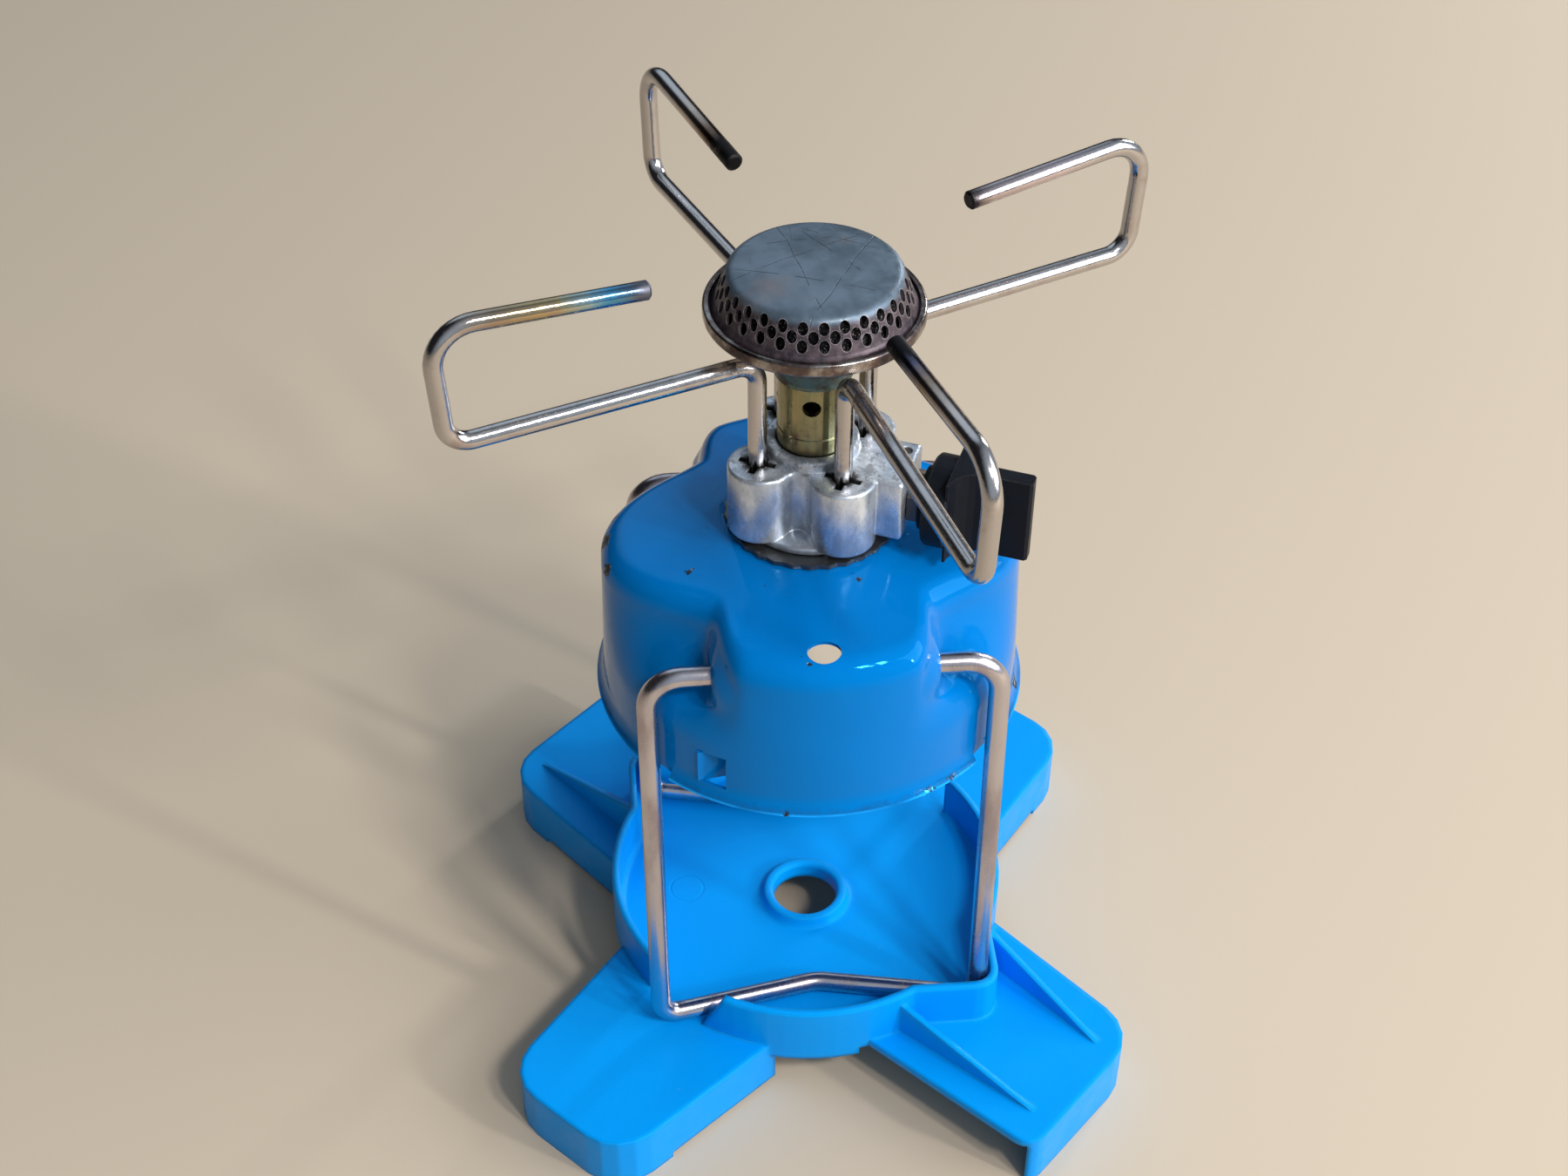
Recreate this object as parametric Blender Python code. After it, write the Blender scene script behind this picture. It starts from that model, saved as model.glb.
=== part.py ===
# A camping gas stove: a screw-in burner on a pressed steel cartridge housing, which hangs on two wire
# bails and stands in a four-legged plastic base. Metres, +Z up, front towards -Y. The origin is on the
# stove's axis at the level of the feet. Sizes are named here and everything below is worked out from them.

from math import acos, atan2, cos, degrees, pi, radians, sin, sqrt, tan

import bmesh
import bpy
from mathutils import Matrix, Vector

gap = 0.0003  # between pieces that touch
overrun = 0.002  # how far a cutter passes the face that it cuts
weld_distance = 0.00001

# Stabiliser base
leg_angles = (45, 135, 225, 315)
open_leg_angles = (135, 315)  # these two have no skirt on one side, and carry the ribs
leg_reach = 0.0892
leg_start = 0.02  # the cup's floor covers what is nearer the axis
leg_top = 0.015
leg_centre_half_width = 0.0264
leg_tip_half_width = 0.0184
open_side_half_width = 0.0255
leg_corner_radius = 0.0115
open_corner_radius = 0.005
plastic_wall = 0.002
skirt_lift = 0.0015
foot_length = 0.0165
cup_margin = 0.0013  # outside the housing's wall
cup_wall = 0.0018
cup_rim_height = 0.0275
cup_skirt_height = 0.011
cup_fillet = 0.001
hole_radius = 0.00807
hole_ring_width = 0.0027
hole_ring_rise = 0.0024
pocket_margin = 0.005  # outside the bails' middle line
pocket_corner_radius = 0.006
rib_thickness = 0.0016
rib_reach = 0.0834
outer_rib_hub_side = -0.0177  # sides are measured across the leg from its middle line
outer_rib_far_side = -0.0164
outer_rib_drop = 0.0032  # below the cup's rim
inner_rib_hub_side = 0.0134
inner_rib_far_side = 0.0095
inner_rib_drop = 0.0015
notch_start_angle = 213.4
notch_floor_angle = 234
notch_rim_angle = 241

# Bails
bail_wire_radius = 0.00235
bail_pivot_angle = 35.3407  # from the lobe's middle
bail_pivot_rise = 0.0289  # above the housing's rim
bail_stub_reach = 0.0147  # from the lobe's side wall outwards
bail_stub_inset = 0.0016
bail_upper_bend = 0.008
bail_lower_bend = 0.005
bail_apex_inset = 0.0078
bail_apex_bend = 0.012
bail_tilt = 2.6

# Cartridge housing
sheet = 0.0008
housing_radius = 0.0472
housing_rim_height = 0.0956
housing_height = 0.0444
housing_top_slope = 0.168
housing_bore = 0.0144
shoulder_radius = 0.0065
flare_width = 0.0012
flare_height = 0.0045
dimple_depth = 0.0102
dimple_fade_rise = 0.0104  # above the rim
dimple_start_angle = 25.5
dimple_deep_angle = 41.5
dimple_end_angle = 86
sight_hole_width = 0.0072
sight_hole_length = 0.0055
sight_hole_inset = 0.0067  # from the housing's wall
sight_hole_aside = 0.001
pivot_boss_radius = 0.0046
pivot_boss_rise = 0.0011
pivot_face_stand = 0.0000835  # outside the pressed wall
pivot_clearance = 0.0003
flare_notch_width = 0.0071
louvre_width = 0.0062
louvre_height = 0.009
louvre_rise = 0.0029
louvre_angles = (238.5, 58.5)
louvre_swing = 24

# Threaded bush and its serrated ring
thread_radius = 0.0108
bush_height = 0.0098
bush_skirt_radius = 0.0133
bush_flange_radius = 0.0182
bush_flange_thickness = 0.0018
ring_radius = 0.0191
ring_thickness = 0.001
serration_depth = 0.0005
serration_count = 30

# Valve body
body_stand = 0.0026  # above the housing's top
body_height = 0.0169
body_edge = 0.0008
boss_radius = 0.0072
boss_offset = 0.0127
boss_turn = 2  # from the rods' sockets, which are a little off their middles
web_fillet = 0.0026
socket_offset = 0.0133
socket_angles = (23.5, 113.5, 203.5, 293.5)
socket_depth = 0.012
socket_notch_reach = 0.0036
socket_notch_width = 0.0015
socket_notch_depth = 0.003
spindle_angle = -23.3
spindle_drop = 0.0078  # below the body's top
block_reach = 0.0224
block_width = 0.0156
block_height = 0.015
seat_flange_radius = 0.0158
seat_flange_drop = 0.001
spigot_height = 0.0186
tube_foot_radius = 0.0101
tube_foot_rise = 0.0025
gas_bore_radius = 0.0012
seat_bore_radius = 0.0009
spindle_seat = 0.0022
seal_seat_start = 0.0136
outlet_offset = 0.0026

# Spindle, gland and knob, as distances along the spindle from the stove's axis
spindle_radius = 0.002
spindle_thread_radius = 0.0028
spindle_thread_end = 0.0128
spindle_tip = 0.0026
spindle_cone = 0.0024
gland_radius = 0.0046
gland_start = 0.0166
gland_groove_radius = 0.0031
gland_head_end = 0.025
gland_across_flats = 0.0105
gland_pin_radius = 0.001
gland_pin_place = 0.0197
gland_pin_aside = 0.0045
gland_pin_length = 0.0125
seal_ring_wire = 0.0007
knob_start = 0.0253
knob_collar_radius = 0.007
knob_disc_start = 0.0268
knob_disc_end = 0.0322
knob_disc_radius = 0.0101
knob_end = 0.0487
knob_grip_half_height = 0.0103
knob_grip_thickness = 0.0036
knob_scoop_radius = 0.006
knob_bore_end = 0.034
knob_edge = 0.0006

# Burner tube and head
tube_radius = 0.0077
tube_wall = 0.0014
tube_groove_rise = 0.0065  # this and the next are above the valve body
tube_groove_depth = 0.00025
air_hole_radius = 0.002
air_hole_rise = 0.0149
air_hole_angle = 262
air_hole_count = 4
collar_rise = 0.0198
collar_lower_radius = 0.0084
collar_upper_radius = 0.0103
collar_height = 0.0073
collar_wall = 0.0008
tube_neck_radius = 0.0071
tube_neck_height = 0.0049
pan_thickness = 0.0007
pan_shelf_radius = 0.0094
pan_edge_radius = 0.0204
rim_radius = 0.023
pan_depth = 0.0079  # from the collar's top to the rim
rim_lip = 0.0007
rim_bevel = 0.0005
cap_radius = 0.0178
cap_rise = 0.00985  # above the rim
cap_dome = 0.0004
cap_shoulder = 0.0019
cap_thickness = 0.0006
cap_flare = 0.0007
hole_count = 28
hole_row_shares = (0.2, 0.43, 0.66)
hole_width = 0.00145
hole_tallness = 0.0023
gauze_thickness = 0.0004
gauze_clearance = 0.0006

# Pan supports
rod_radius = 0.002
rod_stand = 0.0258  # from the valve body's top to the lower arm
rod_lower_drop = 0.0019
rod_end_height = 0.028
rod_tip_drop = 0.0024
rod_lower_reach = 0.0659
rod_upper_reach = 0.0675
rod_tip_reach = 0.0227
rod_inner_bend = 0.0045
rod_lower_bend = 0.0055
rod_upper_bend = 0.0085
support_directions = (25, 112.2, 198.2, 286.5)

# Jet, needle and cartridge seal
jet_radius = 0.0032
jet_head_radius = 0.0045
jet_drop = 0.0023  # below the valve body's top
jet_height = 0.0083
jet_shoulder = 0.0022
jet_orifice_radius = 0.0006
filter_thickness = 0.0007
needle_radius = 0.0024
needle_length = 0.0175
needle_tip_length = 0.004
needle_bore_radius = 0.0009
needle_seat_depth = 0.01
seal_radius = 0.0082
seal_thickness = 0.003
seal_inset = 0.0012

# Levels above the ground, worked out from the sizes
housing_top_height = housing_rim_height + housing_height
bail_pivot_height = housing_rim_height + bail_pivot_rise
dimple_fade_height = housing_rim_height + dimple_fade_rise
louvre_bottom = housing_rim_height + louvre_rise
bush_bottom = housing_top_height + gap - bush_height
body_bottom = housing_top_height + body_stand
body_top = body_bottom + body_height
block_bottom = body_top - block_height
spindle_height = body_top - spindle_drop
spigot_bottom = body_bottom - spigot_height
tube_groove_height = body_top + tube_groove_rise
air_hole_height = body_top + air_hole_rise
collar_bottom = body_top + collar_rise
collar_top = collar_bottom + collar_height
tube_top = collar_bottom + tube_neck_height
rim_height = collar_top + pan_depth
cap_height = rim_height + cap_rise
jet_bottom = body_top - jet_drop
jet_top = jet_bottom + jet_height
rod_foot_height = body_top - socket_depth
rod_lower_height = body_top + rod_stand
rod_lower_end_height = rod_lower_height - rod_lower_drop
rod_upper_end_height = rod_lower_end_height + rod_end_height
rod_tip_height = rod_upper_end_height - rod_tip_drop

for thing in list(bpy.data.objects):
    bpy.data.objects.remove(thing, do_unlink=True)


def material(name, colour, roughness, metallic):
    made = bpy.data.materials.new(name)
    made.use_nodes = True
    shader = made.node_tree.nodes["Principled BSDF"]
    shader.inputs["Base Color"].default_value = (*colour, 1)
    shader.inputs["Roughness"].default_value = roughness
    shader.inputs["Metallic"].default_value = metallic
    return made


blue_plastic = material("blue_plastic", (0.0, 0.27, 0.85), 0.35, 0)
blue_paint = material("blue_paint", (0.0, 0.2, 0.45), 0.2, 0)
cast_aluminium = material("cast_aluminium", (0.6, 0.61, 0.62), 0.35, 1)
plated_rod = material("plated_rod", (0.66, 0.63, 0.6), 0.18, 1)
nickel_wire = material("nickel_wire", (0.5, 0.46, 0.42), 0.25, 1)
dark_steel = material("dark_steel", (0.1, 0.09, 0.08), 0.5, 1)
burnt_steel = material("burnt_steel", (0.2, 0.21, 0.24), 0.45, 1)
purple_steel = material("purple_steel", (0.18, 0.14, 0.15), 0.4, 1)
passivated_steel = material("passivated_steel", (0.45, 0.42, 0.22), 0.3, 1)
green_steel = material("green_steel", (0.25, 0.33, 0.28), 0.4, 1)
black_plastic = material("black_plastic", (0.012, 0.012, 0.013), 0.4, 0)
brass = material("brass", (0.62, 0.45, 0.18), 0.3, 1)
rubber = material("rubber", (0.02, 0.02, 0.02), 0.7, 0)
gauze = material("gauze", (0.12, 0.11, 0.1), 0.6, 1)


# Tools for shapes

def place(name, mesh, finish):
    made = bpy.data.objects.new(name, mesh)
    bpy.context.scene.collection.objects.link(made)
    if finish:
        mesh.materials.append(finish)
    else:
        made.hide_render = True
        made.display_type = "WIRE"
    return made


def smooth(mesh):
    mesh.shade_smooth()
    mesh.set_sharp_from_angle(angle=radians(35))


def turned(name, outline, steps, finish=None, closed=True):
    """A profile of (radius, height) points, down its outer side first, swept round Z."""
    mesh = bpy.data.meshes.new(name)
    points = [(radius, 0, height) for radius, height in outline]
    edges = [(i, i + 1) for i in range(len(points) - 1)]
    if closed:
        edges.append((len(points) - 1, 0))
    mesh.from_pydata(points, edges, [])
    made = place(name, mesh, finish)
    sweep = made.modifiers.new("sweep", "SCREW")
    sweep.steps = steps
    sweep.render_steps = steps
    sweep.use_merge_vertices = True
    sweep.merge_threshold = weld_distance
    sweep.use_smooth_shade = True
    return made


def loft(name, rings, finish=None):
    """A closed solid through rings of points, from the first ring to the last."""
    mesh = bpy.data.meshes.new(name)
    form = bmesh.new()
    loops = [[form.verts.new(point) for point in ring] for ring in rings]
    form.faces.new(loops[0][::-1])
    form.faces.new(loops[-1])
    for low, high in zip(loops, loops[1:]):
        for i in range(len(low)):
            j = (i + 1) % len(low)
            form.faces.new((low[i], low[j], high[j], high[i]))
    bmesh.ops.recalc_face_normals(form, faces=form.faces)
    form.to_mesh(mesh)
    form.free()
    smooth(mesh)
    return place(name, mesh, finish)


def stack(name, levels, finish=None):
    """A closed solid through level outlines, from the lowest to the highest."""
    rings = [[(x, y, height) for x, y in outline] for outline, height in levels]
    return loft(name, rings, finish)


def prism(name, outline, bottom, top, finish=None):
    return stack(name, [(outline, bottom), (outline, top)], finish)


def box(name, low, high, finish=None):
    corners = [(low[0], low[1]), (high[0], low[1]), (high[0], high[1]), (low[0], high[1])]
    return prism(name, corners, low[2], high[2], finish)


def circle(radius, steps):
    angles = [2 * pi * k / steps for k in range(steps)]
    return [(radius * cos(angle), radius * sin(angle)) for angle in angles]


def rod(name, radius, length, steps=16, finish=None):
    """A round bar along Z, centred on the origin."""
    return prism(name, circle(radius, steps), -length / 2, length / 2, finish)


def boolean(target, operation, others):
    for other in others:
        change = target.modifiers.new(other.name, "BOOLEAN")
        change.operation = operation
        change.object = other
    return target


def cut(target, *cutters):
    return boolean(target, "DIFFERENCE", cutters)


def join(target, *others):
    return boolean(target, "UNION", others)


def corner_arc(before, corner, after, radius, steps):
    """Points of the arc that rounds a corner of a path."""
    back = (before - corner).normalized()
    ahead = (after - corner).normalized()
    half = back.angle(ahead) / 2
    centre = corner + (back + ahead).normalized() * radius / sin(half)
    start = (corner + back * radius / tan(half) - centre).normalized()
    end = (corner + ahead * radius / tan(half) - centre).normalized()
    return [centre + start.slerp(end, k / steps) * radius for k in range(steps + 1)]


def rounded_path(corners, radii, steps):
    """An open path, with each inner corner rounded to its radius."""
    points = [Vector(corner) for corner in corners]
    path = [points[0]]
    for i, radius in enumerate(radii, 1):
        path += corner_arc(points[i - 1], points[i], points[i + 1], radius, steps)
    return path + [points[-1]]


def rounded_outline(corners, radii, steps):
    """A closed outline in a plane. A corner whose radius is zero stays sharp."""
    points = [Vector((x, y, 0)) for x, y in corners]
    outline = []
    for i, radius in enumerate(radii):
        before, after = points[i - 1], points[(i + 1) % len(points)]
        if radius:
            outline += corner_arc(before, points[i], after, radius, steps)
        else:
            outline.append(points[i])
    return [(point.x, point.y) for point in outline]


def wire(name, path, radius, facets, finish):
    curve = bpy.data.curves.new(name, "CURVE")
    curve.dimensions = "3D"
    curve.bevel_depth = radius
    curve.bevel_resolution = facets
    curve.use_fill_caps = True
    line = curve.splines.new("POLY")
    line.points.add(len(path) - 1)
    for point, spot in zip(line.points, path):
        point.co = (*spot, 1)
    curve.materials.append(finish)
    made = bpy.data.objects.new(name, curve)
    bpy.context.scene.collection.objects.link(made)
    return made


def turn(points, angle):
    c, s = cos(radians(angle)), sin(radians(angle))
    return [(c * x - s * y, s * x + c * y) for x, y in points]


# Stabiliser base

def side_at(reach):
    """Half the width of a leg at this distance from the axis."""
    share = reach / leg_reach
    return leg_centre_half_width + (leg_tip_half_width - leg_centre_half_width) * share


def leg_outline(inset, is_open):
    """A leg along +X. The inset outline is its hollow, which runs out through an open side."""
    tip = leg_reach - inset
    side = side_at(tip) - inset
    root = leg_centre_half_width - inset
    if not is_open:
        low_root, low_tip, low_radius = -root, -side, leg_corner_radius - inset
    elif inset:
        low_root = low_tip = -open_side_half_width - overrun
        low_radius = 0
    else:
        low_root = low_tip = -open_side_half_width
        low_radius = open_corner_radius
    start = -overrun if inset else leg_start
    corners = [(start, low_root), (tip, low_tip), (tip, side), (start, root)]
    return rounded_outline(corners, [0, low_radius, leg_corner_radius - inset, 0], 4)


def cup_outline(inset):
    """The cup's plan: a circle, with a rounded corner pushed out over each open leg."""
    radius, half = cup_radius - inset, pocket_half_width - inset
    meeting = degrees(acos(half / radius))
    beside = half * tan(radians(meeting))
    corner = [Vector((half, 0, 0)), Vector((half, half, 0)), Vector((0, half, 0))]
    pocket = [(half, beside)] + [(p.x, p.y) for p in corner_arc(*corner, pocket_corner_radius - inset, 4)]
    points = []
    for angle in open_leg_angles:
        points += turn(pocket, angle - 45)
        for k in range(30):
            around = 90 - meeting + (90 + 2 * meeting) * k / 30
            points += turn([(radius, 0)], angle - 45 + around)
    return points


def rib(name, angle, hub_side, far_side, drop):
    """A gusset that stands on a leg and dies away towards its tip."""
    on_circle = sqrt(cup_radius**2 - hub_side**2)
    on_pocket = pocket_half_width * sqrt(2) - abs(hub_side)
    start = Vector((max(on_circle, on_pocket) - cup_wall / 2, hub_side))
    end = Vector((rib_reach, far_side))
    across = (end - start).orthogonal().normalized() * rib_thickness / 2
    foot = leg_top - plastic_wall / 2
    sides = []
    for edge in (across, -across):
        profile = ((start, foot), (end, foot), (end, leg_top), (start, cup_rim_height - drop))
        sides.append([(*turn([spot + edge], angle)[0], height) for spot, height in profile])
    return loft(name, sides)


def notch(name, start_angle, floor_angle, rim_angle):
    """The part of the cup's wall that is left out where a bail's leg stands."""
    rings = []
    rise = 1 + overrun / (cup_rim_height - leg_top)
    for end_angle, height in (
        (floor_angle, leg_top),
        (floor_angle + (rim_angle - floor_angle) * rise, cup_rim_height + overrun),
    ):
        near, far = cup_radius - cup_wall - overrun, cup_radius + overrun
        corners = ((near, start_angle), (far, start_angle), (far, end_angle), (near, end_angle))
        rings.append([(*turn([(radius, 0)], angle)[0], height) for radius, angle in corners])
    return loft(name, rings)


def build_base():
    inner, under = cup_radius - cup_wall, leg_top - plastic_wall
    edge = cup_fillet / 2
    above = cup_rim_height + overrun
    walls = ((0, cup_skirt_height), (0, cup_rim_height - edge), (edge, cup_rim_height))
    base = stack("stabiliser_base", [(cup_outline(inset), height) for inset, height in walls], blue_plastic)
    for angle in leg_angles:
        outline = turn(leg_outline(0, angle in open_leg_angles), angle)
        join(base, prism(f"leg_{angle}", outline, 0, leg_top))
    bowl = ((cup_wall + cup_fillet, leg_top), (cup_wall, leg_top + cup_fillet), (cup_wall, above))
    cut(base, stack("bowl", [(cup_outline(inset), height) for inset, height in bowl]))
    ring_top = leg_top + hole_ring_rise
    ring_edge = hole_radius + hole_ring_width
    ring = [
        (0, ring_top),
        (ring_edge - edge, ring_top),
        (ring_edge, leg_top + cup_fillet),
        (ring_edge + cup_fillet, leg_top - gap),
        (0, leg_top - gap),
    ]
    join(base, turned("hole_ring", ring, 48, closed=False))
    for i, half_turn in enumerate((0, 180)):
        angles = (notch_start_angle + half_turn, notch_floor_angle + half_turn, notch_rim_angle + half_turn)
        cut(base, notch(f"notch_{i}", *angles))
    cut(base, prism("underside", circle(inner, 72), -overrun, under))
    for angle in leg_angles:
        is_open = angle in open_leg_angles
        cut(base, prism(f"hollow_{angle}", turn(leg_outline(plastic_wall, is_open), angle), -overrun, under))
        reach, side = leg_reach - foot_length, open_side_half_width + overrun
        strip = [(0, -side), (reach, -side), (reach, side), (0, side)]
        cut(base, prism(f"lift_{angle}", turn(strip, angle), -overrun, skirt_lift))
    hub = [
        (0, ring_top + overrun),
        (hole_radius + edge + overrun, ring_top + overrun),
        (hole_radius, ring_top - edge),
        (hole_radius, -overrun),
        (0, -overrun),
    ]
    cut(base, turned("centre_hole", hub, 36, closed=False))
    for angle in open_leg_angles:
        join(base, rib(f"outer_rib_{angle}", angle, outer_rib_hub_side, outer_rib_far_side, outer_rib_drop))
        join(base, rib(f"inner_rib_{angle}", angle, inner_rib_hub_side, inner_rib_far_side, inner_rib_drop))


# Bails

def build_bail(name, side):
    """A wire loop on a pivot line along X. The front one is on side -1, the rear one on side 1."""
    tilt = radians(bail_tilt)
    drop = bail_pivot_height - leg_top - gap - bail_wire_radius - bail_apex_inset * sin(tilt)
    foot = -drop / cos(tilt)
    corners = [
        (-bail_stub_inner, 0, 0),
        (-bail_half_width, 0, 0),
        (-bail_half_width, 0, foot),
        (0, bail_apex_inset, foot),
        (bail_half_width, 0, foot),
        (bail_half_width, 0, 0),
        (bail_stub_inner, 0, 0),
    ]
    bends = (bail_upper_bend, bail_lower_bend, bail_apex_bend, bail_lower_bend, bail_upper_bend)
    bail = wire(name, rounded_path(corners, bends, 5), bail_wire_radius, 3, nickel_wire)
    bail.location = (0, side * bail_pivot_offset, bail_pivot_height)
    bail.rotation_euler = (-tilt, 0, 0 if side < 0 else pi)


# Cartridge housing

quarter_angles = (0, 10, 19, 25, 29, 33, 37, 41, 45, 51, 57, 63, 70, 78, 85)
wall_shares = (0.1, 0.24, 0.4, 0.58, 0.78, 1)


def ease(share):
    return share * share * (3 - 2 * share)


def dimple_share(from_lobe):
    """How far the wall is pressed in, by the angle from the nearer lobe's middle."""
    if from_lobe <= dimple_start_angle or from_lobe >= dimple_end_angle:
        return 0
    if from_lobe <= dimple_deep_angle:
        return ease((from_lobe - dimple_start_angle) / (dimple_deep_angle - dimple_start_angle))
    return 1 - ease((from_lobe - dimple_deep_angle) / (dimple_end_angle - dimple_deep_angle))


# The bails' pivots stand on the lobes' side walls, and the cup and its pockets follow the bails
bail_pivot_reach = housing_radius - dimple_depth * dimple_share(bail_pivot_angle) + pivot_face_stand
bail_pivot_offset = bail_pivot_reach * cos(radians(bail_pivot_angle))
bail_pivot_face = bail_pivot_reach * sin(radians(bail_pivot_angle))
bail_stub_inner = bail_pivot_face - bail_stub_inset
bail_half_width = bail_pivot_face + bail_stub_reach
pocket_half_width = bail_half_width + pocket_margin
cup_radius = housing_radius + cup_margin
sight_hole_offset = housing_radius - sight_hole_inset


def top_height(radius):
    """The height of the gently sloping top."""
    return housing_top_height - housing_top_slope * max(radius - ring_radius, 0)


def housing_profile(from_lobe):
    """The outside of the pressing in one direction, from its bore to its rim, as (radius, height)."""
    depth = dimple_depth * dimple_share(from_lobe)
    bend = housing_radius - depth - shoulder_radius
    level = top_height(bend) - shoulder_radius
    profile = [(housing_bore, housing_top_height), (ring_radius, housing_top_height)]
    for k in range(6):
        angle = radians(90) * k / 5
        profile.append((bend + shoulder_radius * sin(angle), level + shoulder_radius * cos(angle)))
    for share in wall_shares:
        height = level + (dimple_fade_height - level) * share
        profile.append((housing_radius - depth * (1 - ease(share)), height))
    flare_foot = housing_rim_height + flare_height
    profile.append((housing_radius, flare_foot))
    profile.append((housing_radius + flare_width / 4, housing_rim_height + flare_height / 2))
    profile.append((housing_radius + flare_width, housing_rim_height))
    return profile


def housing_shell():
    form = bmesh.new()
    columns = []
    for quarter in range(4):
        for step in quarter_angles:
            direction = radians(-90 + 90 * quarter + step)
            from_lobe = step if quarter % 2 == 0 else 90 - step
            profile = housing_profile(from_lobe)
            columns.append([form.verts.new((r * cos(direction), r * sin(direction), z)) for r, z in profile])
    for i, column in enumerate(columns):
        following = columns[(i + 1) % len(columns)]
        for j in range(len(column) - 1):
            form.faces.new((column[j], column[j + 1], following[j + 1], following[j]))
    bmesh.ops.recalc_face_normals(form, faces=form.faces)
    mesh = bpy.data.meshes.new("cartridge_housing")
    form.to_mesh(mesh)
    form.free()
    smooth(mesh)
    return mesh


def louvre(name, angle):
    """A lanced tab, still fixed along one upright edge and pressed inwards at the other."""
    spot = Matrix.Rotation(radians(angle + 90), 4, "Z")
    middle = -housing_radius + sheet / 2
    hinge_side = -louvre_width / 2
    window = box(
        f"{name}_window",
        (hinge_side, middle - overrun, louvre_bottom),
        (-hinge_side, middle + overrun, louvre_bottom + louvre_height),
    )
    window.matrix_world = spot
    tab = box(
        f"{name}_tab",
        (-sheet, -sheet / 2, louvre_bottom + gap),
        (louvre_width, sheet / 2, louvre_bottom + louvre_height - gap),
    )
    hinge = Matrix.Translation((hinge_side, middle, 0)) @ Matrix.Rotation(radians(louvre_swing), 4, "Z")
    tab.matrix_world = spot @ hinge
    return window, tab


def build_housing():
    housing = place("cartridge_housing", housing_shell(), blue_paint)
    press = housing.modifiers.new("sheet", "SOLIDIFY")
    press.thickness = sheet
    press.offset = -1
    press.use_even_offset = True
    oval = [(x * sight_hole_width / 2, y * sight_hole_length / 2) for x, y in circle(1, 20)]
    hole = prism("sight_hole", oval, -overrun, overrun)
    hole.location = (-sight_hole_aside, -sight_hole_offset, top_height(sight_hole_offset))
    cut(housing, hole)
    for x_side in (-1, 1):
        for y_side in (-1, 1):
            spot = f"{x_side}_{y_side}"
            inner = bail_pivot_face - sheet * 2
            outer = bail_pivot_face + pivot_boss_rise
            boss = rod(f"pivot_boss_{spot}", pivot_boss_radius, outer - inner, 20)
            boss.rotation_euler = (0, pi / 2, 0)
            boss.location = (x_side * (inner + outer) / 2, y_side * bail_pivot_offset, bail_pivot_height)
            join(housing, boss)
    for x_side in (-1, 1):
        for y_side in (-1, 1):
            spot = f"{x_side}_{y_side}"
            bore = rod(f"pivot_hole_{spot}", bail_wire_radius + pivot_clearance, shoulder_radius * 2, 20)
            bore.rotation_euler = (0, pi / 2, 0)
            bore.location = (x_side * bail_pivot_face, y_side * bail_pivot_offset, bail_pivot_height)
            cut(housing, bore)
            leg_y = bail_pivot_offset + bail_pivot_rise * tan(radians(bail_tilt / 2))
            leg_angle = atan2(y_side * leg_y, x_side * bail_half_width)
            flare_top = housing_rim_height + flare_height
            relief = box(
                f"flare_notch_{spot}",
                (housing_radius, -flare_notch_width / 2, housing_rim_height - overrun),
                (housing_radius + flare_width + overrun, flare_notch_width / 2, flare_top + overrun),
            )
            relief.rotation_euler = (0, 0, leg_angle)
            cut(housing, relief)
    for i, angle in enumerate(louvre_angles):
        window, tab = louvre(f"louvre_{i}", angle)
        cut(housing, window)
        join(housing, tab)


# Threaded bush and serrated ring

def build_bush():
    seat = housing_top_height - sheet - gap
    neck = housing_bore - gap
    top = housing_top_height + gap + ring_thickness
    outline = [
        (neck, top),
        (neck, seat),
        (bush_flange_radius, seat),
        (bush_flange_radius, seat - bush_flange_thickness),
        (bush_skirt_radius, seat - bush_flange_thickness),
        (bush_skirt_radius, bush_bottom),
        (thread_radius + gap, bush_bottom),
        (thread_radius + gap, top),
    ]
    turned("threaded_bush", outline, 36, dark_steel)
    teeth = []
    for k in range(serration_count * 2):
        radius = ring_radius - serration_depth * (k % 2)
        teeth.append(turn([(radius, 0)], 180 * k / serration_count)[0])
    ring = prism("serrated_ring", teeth, housing_top_height + gap, top, dark_steel)
    cut(ring, rod("serrated_ring_bore", housing_bore, housing_top_height * 3, 36))


# Valve body

def body_outline():
    """Four bosses joined by concave webs."""
    half_gap = boss_offset * sin(radians(45))
    reach = sqrt((boss_radius + web_fillet) ** 2 - half_gap**2) + half_gap
    web = Vector((reach * cos(radians(45)), reach * sin(radians(45))))
    lean = degrees(atan2(web.y, web.x - boss_offset))
    points = []
    for angle in (angle + boss_turn for angle in socket_angles):
        for k in range(13):
            arc = radians(-lean + 2 * lean * k / 12)
            spot = (boss_offset + boss_radius * cos(arc), boss_radius * sin(arc))
            points += turn([spot], angle)
        for k in range(1, 5):
            arc = radians(lean - 180 + (90 - 2 * lean) * k / 5)
            spot = (web.x + web_fillet * cos(arc), web.y + web_fillet * sin(arc))
            points += turn([spot], angle)
    return points


def along_spindle(piece, lift=0.0):
    """Turns a piece made round Z so that it lies along the spindle."""
    piece.rotation_euler = (0, pi / 2, radians(spindle_angle))
    piece.location = (0, 0, spindle_height + lift)
    return piece


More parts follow.
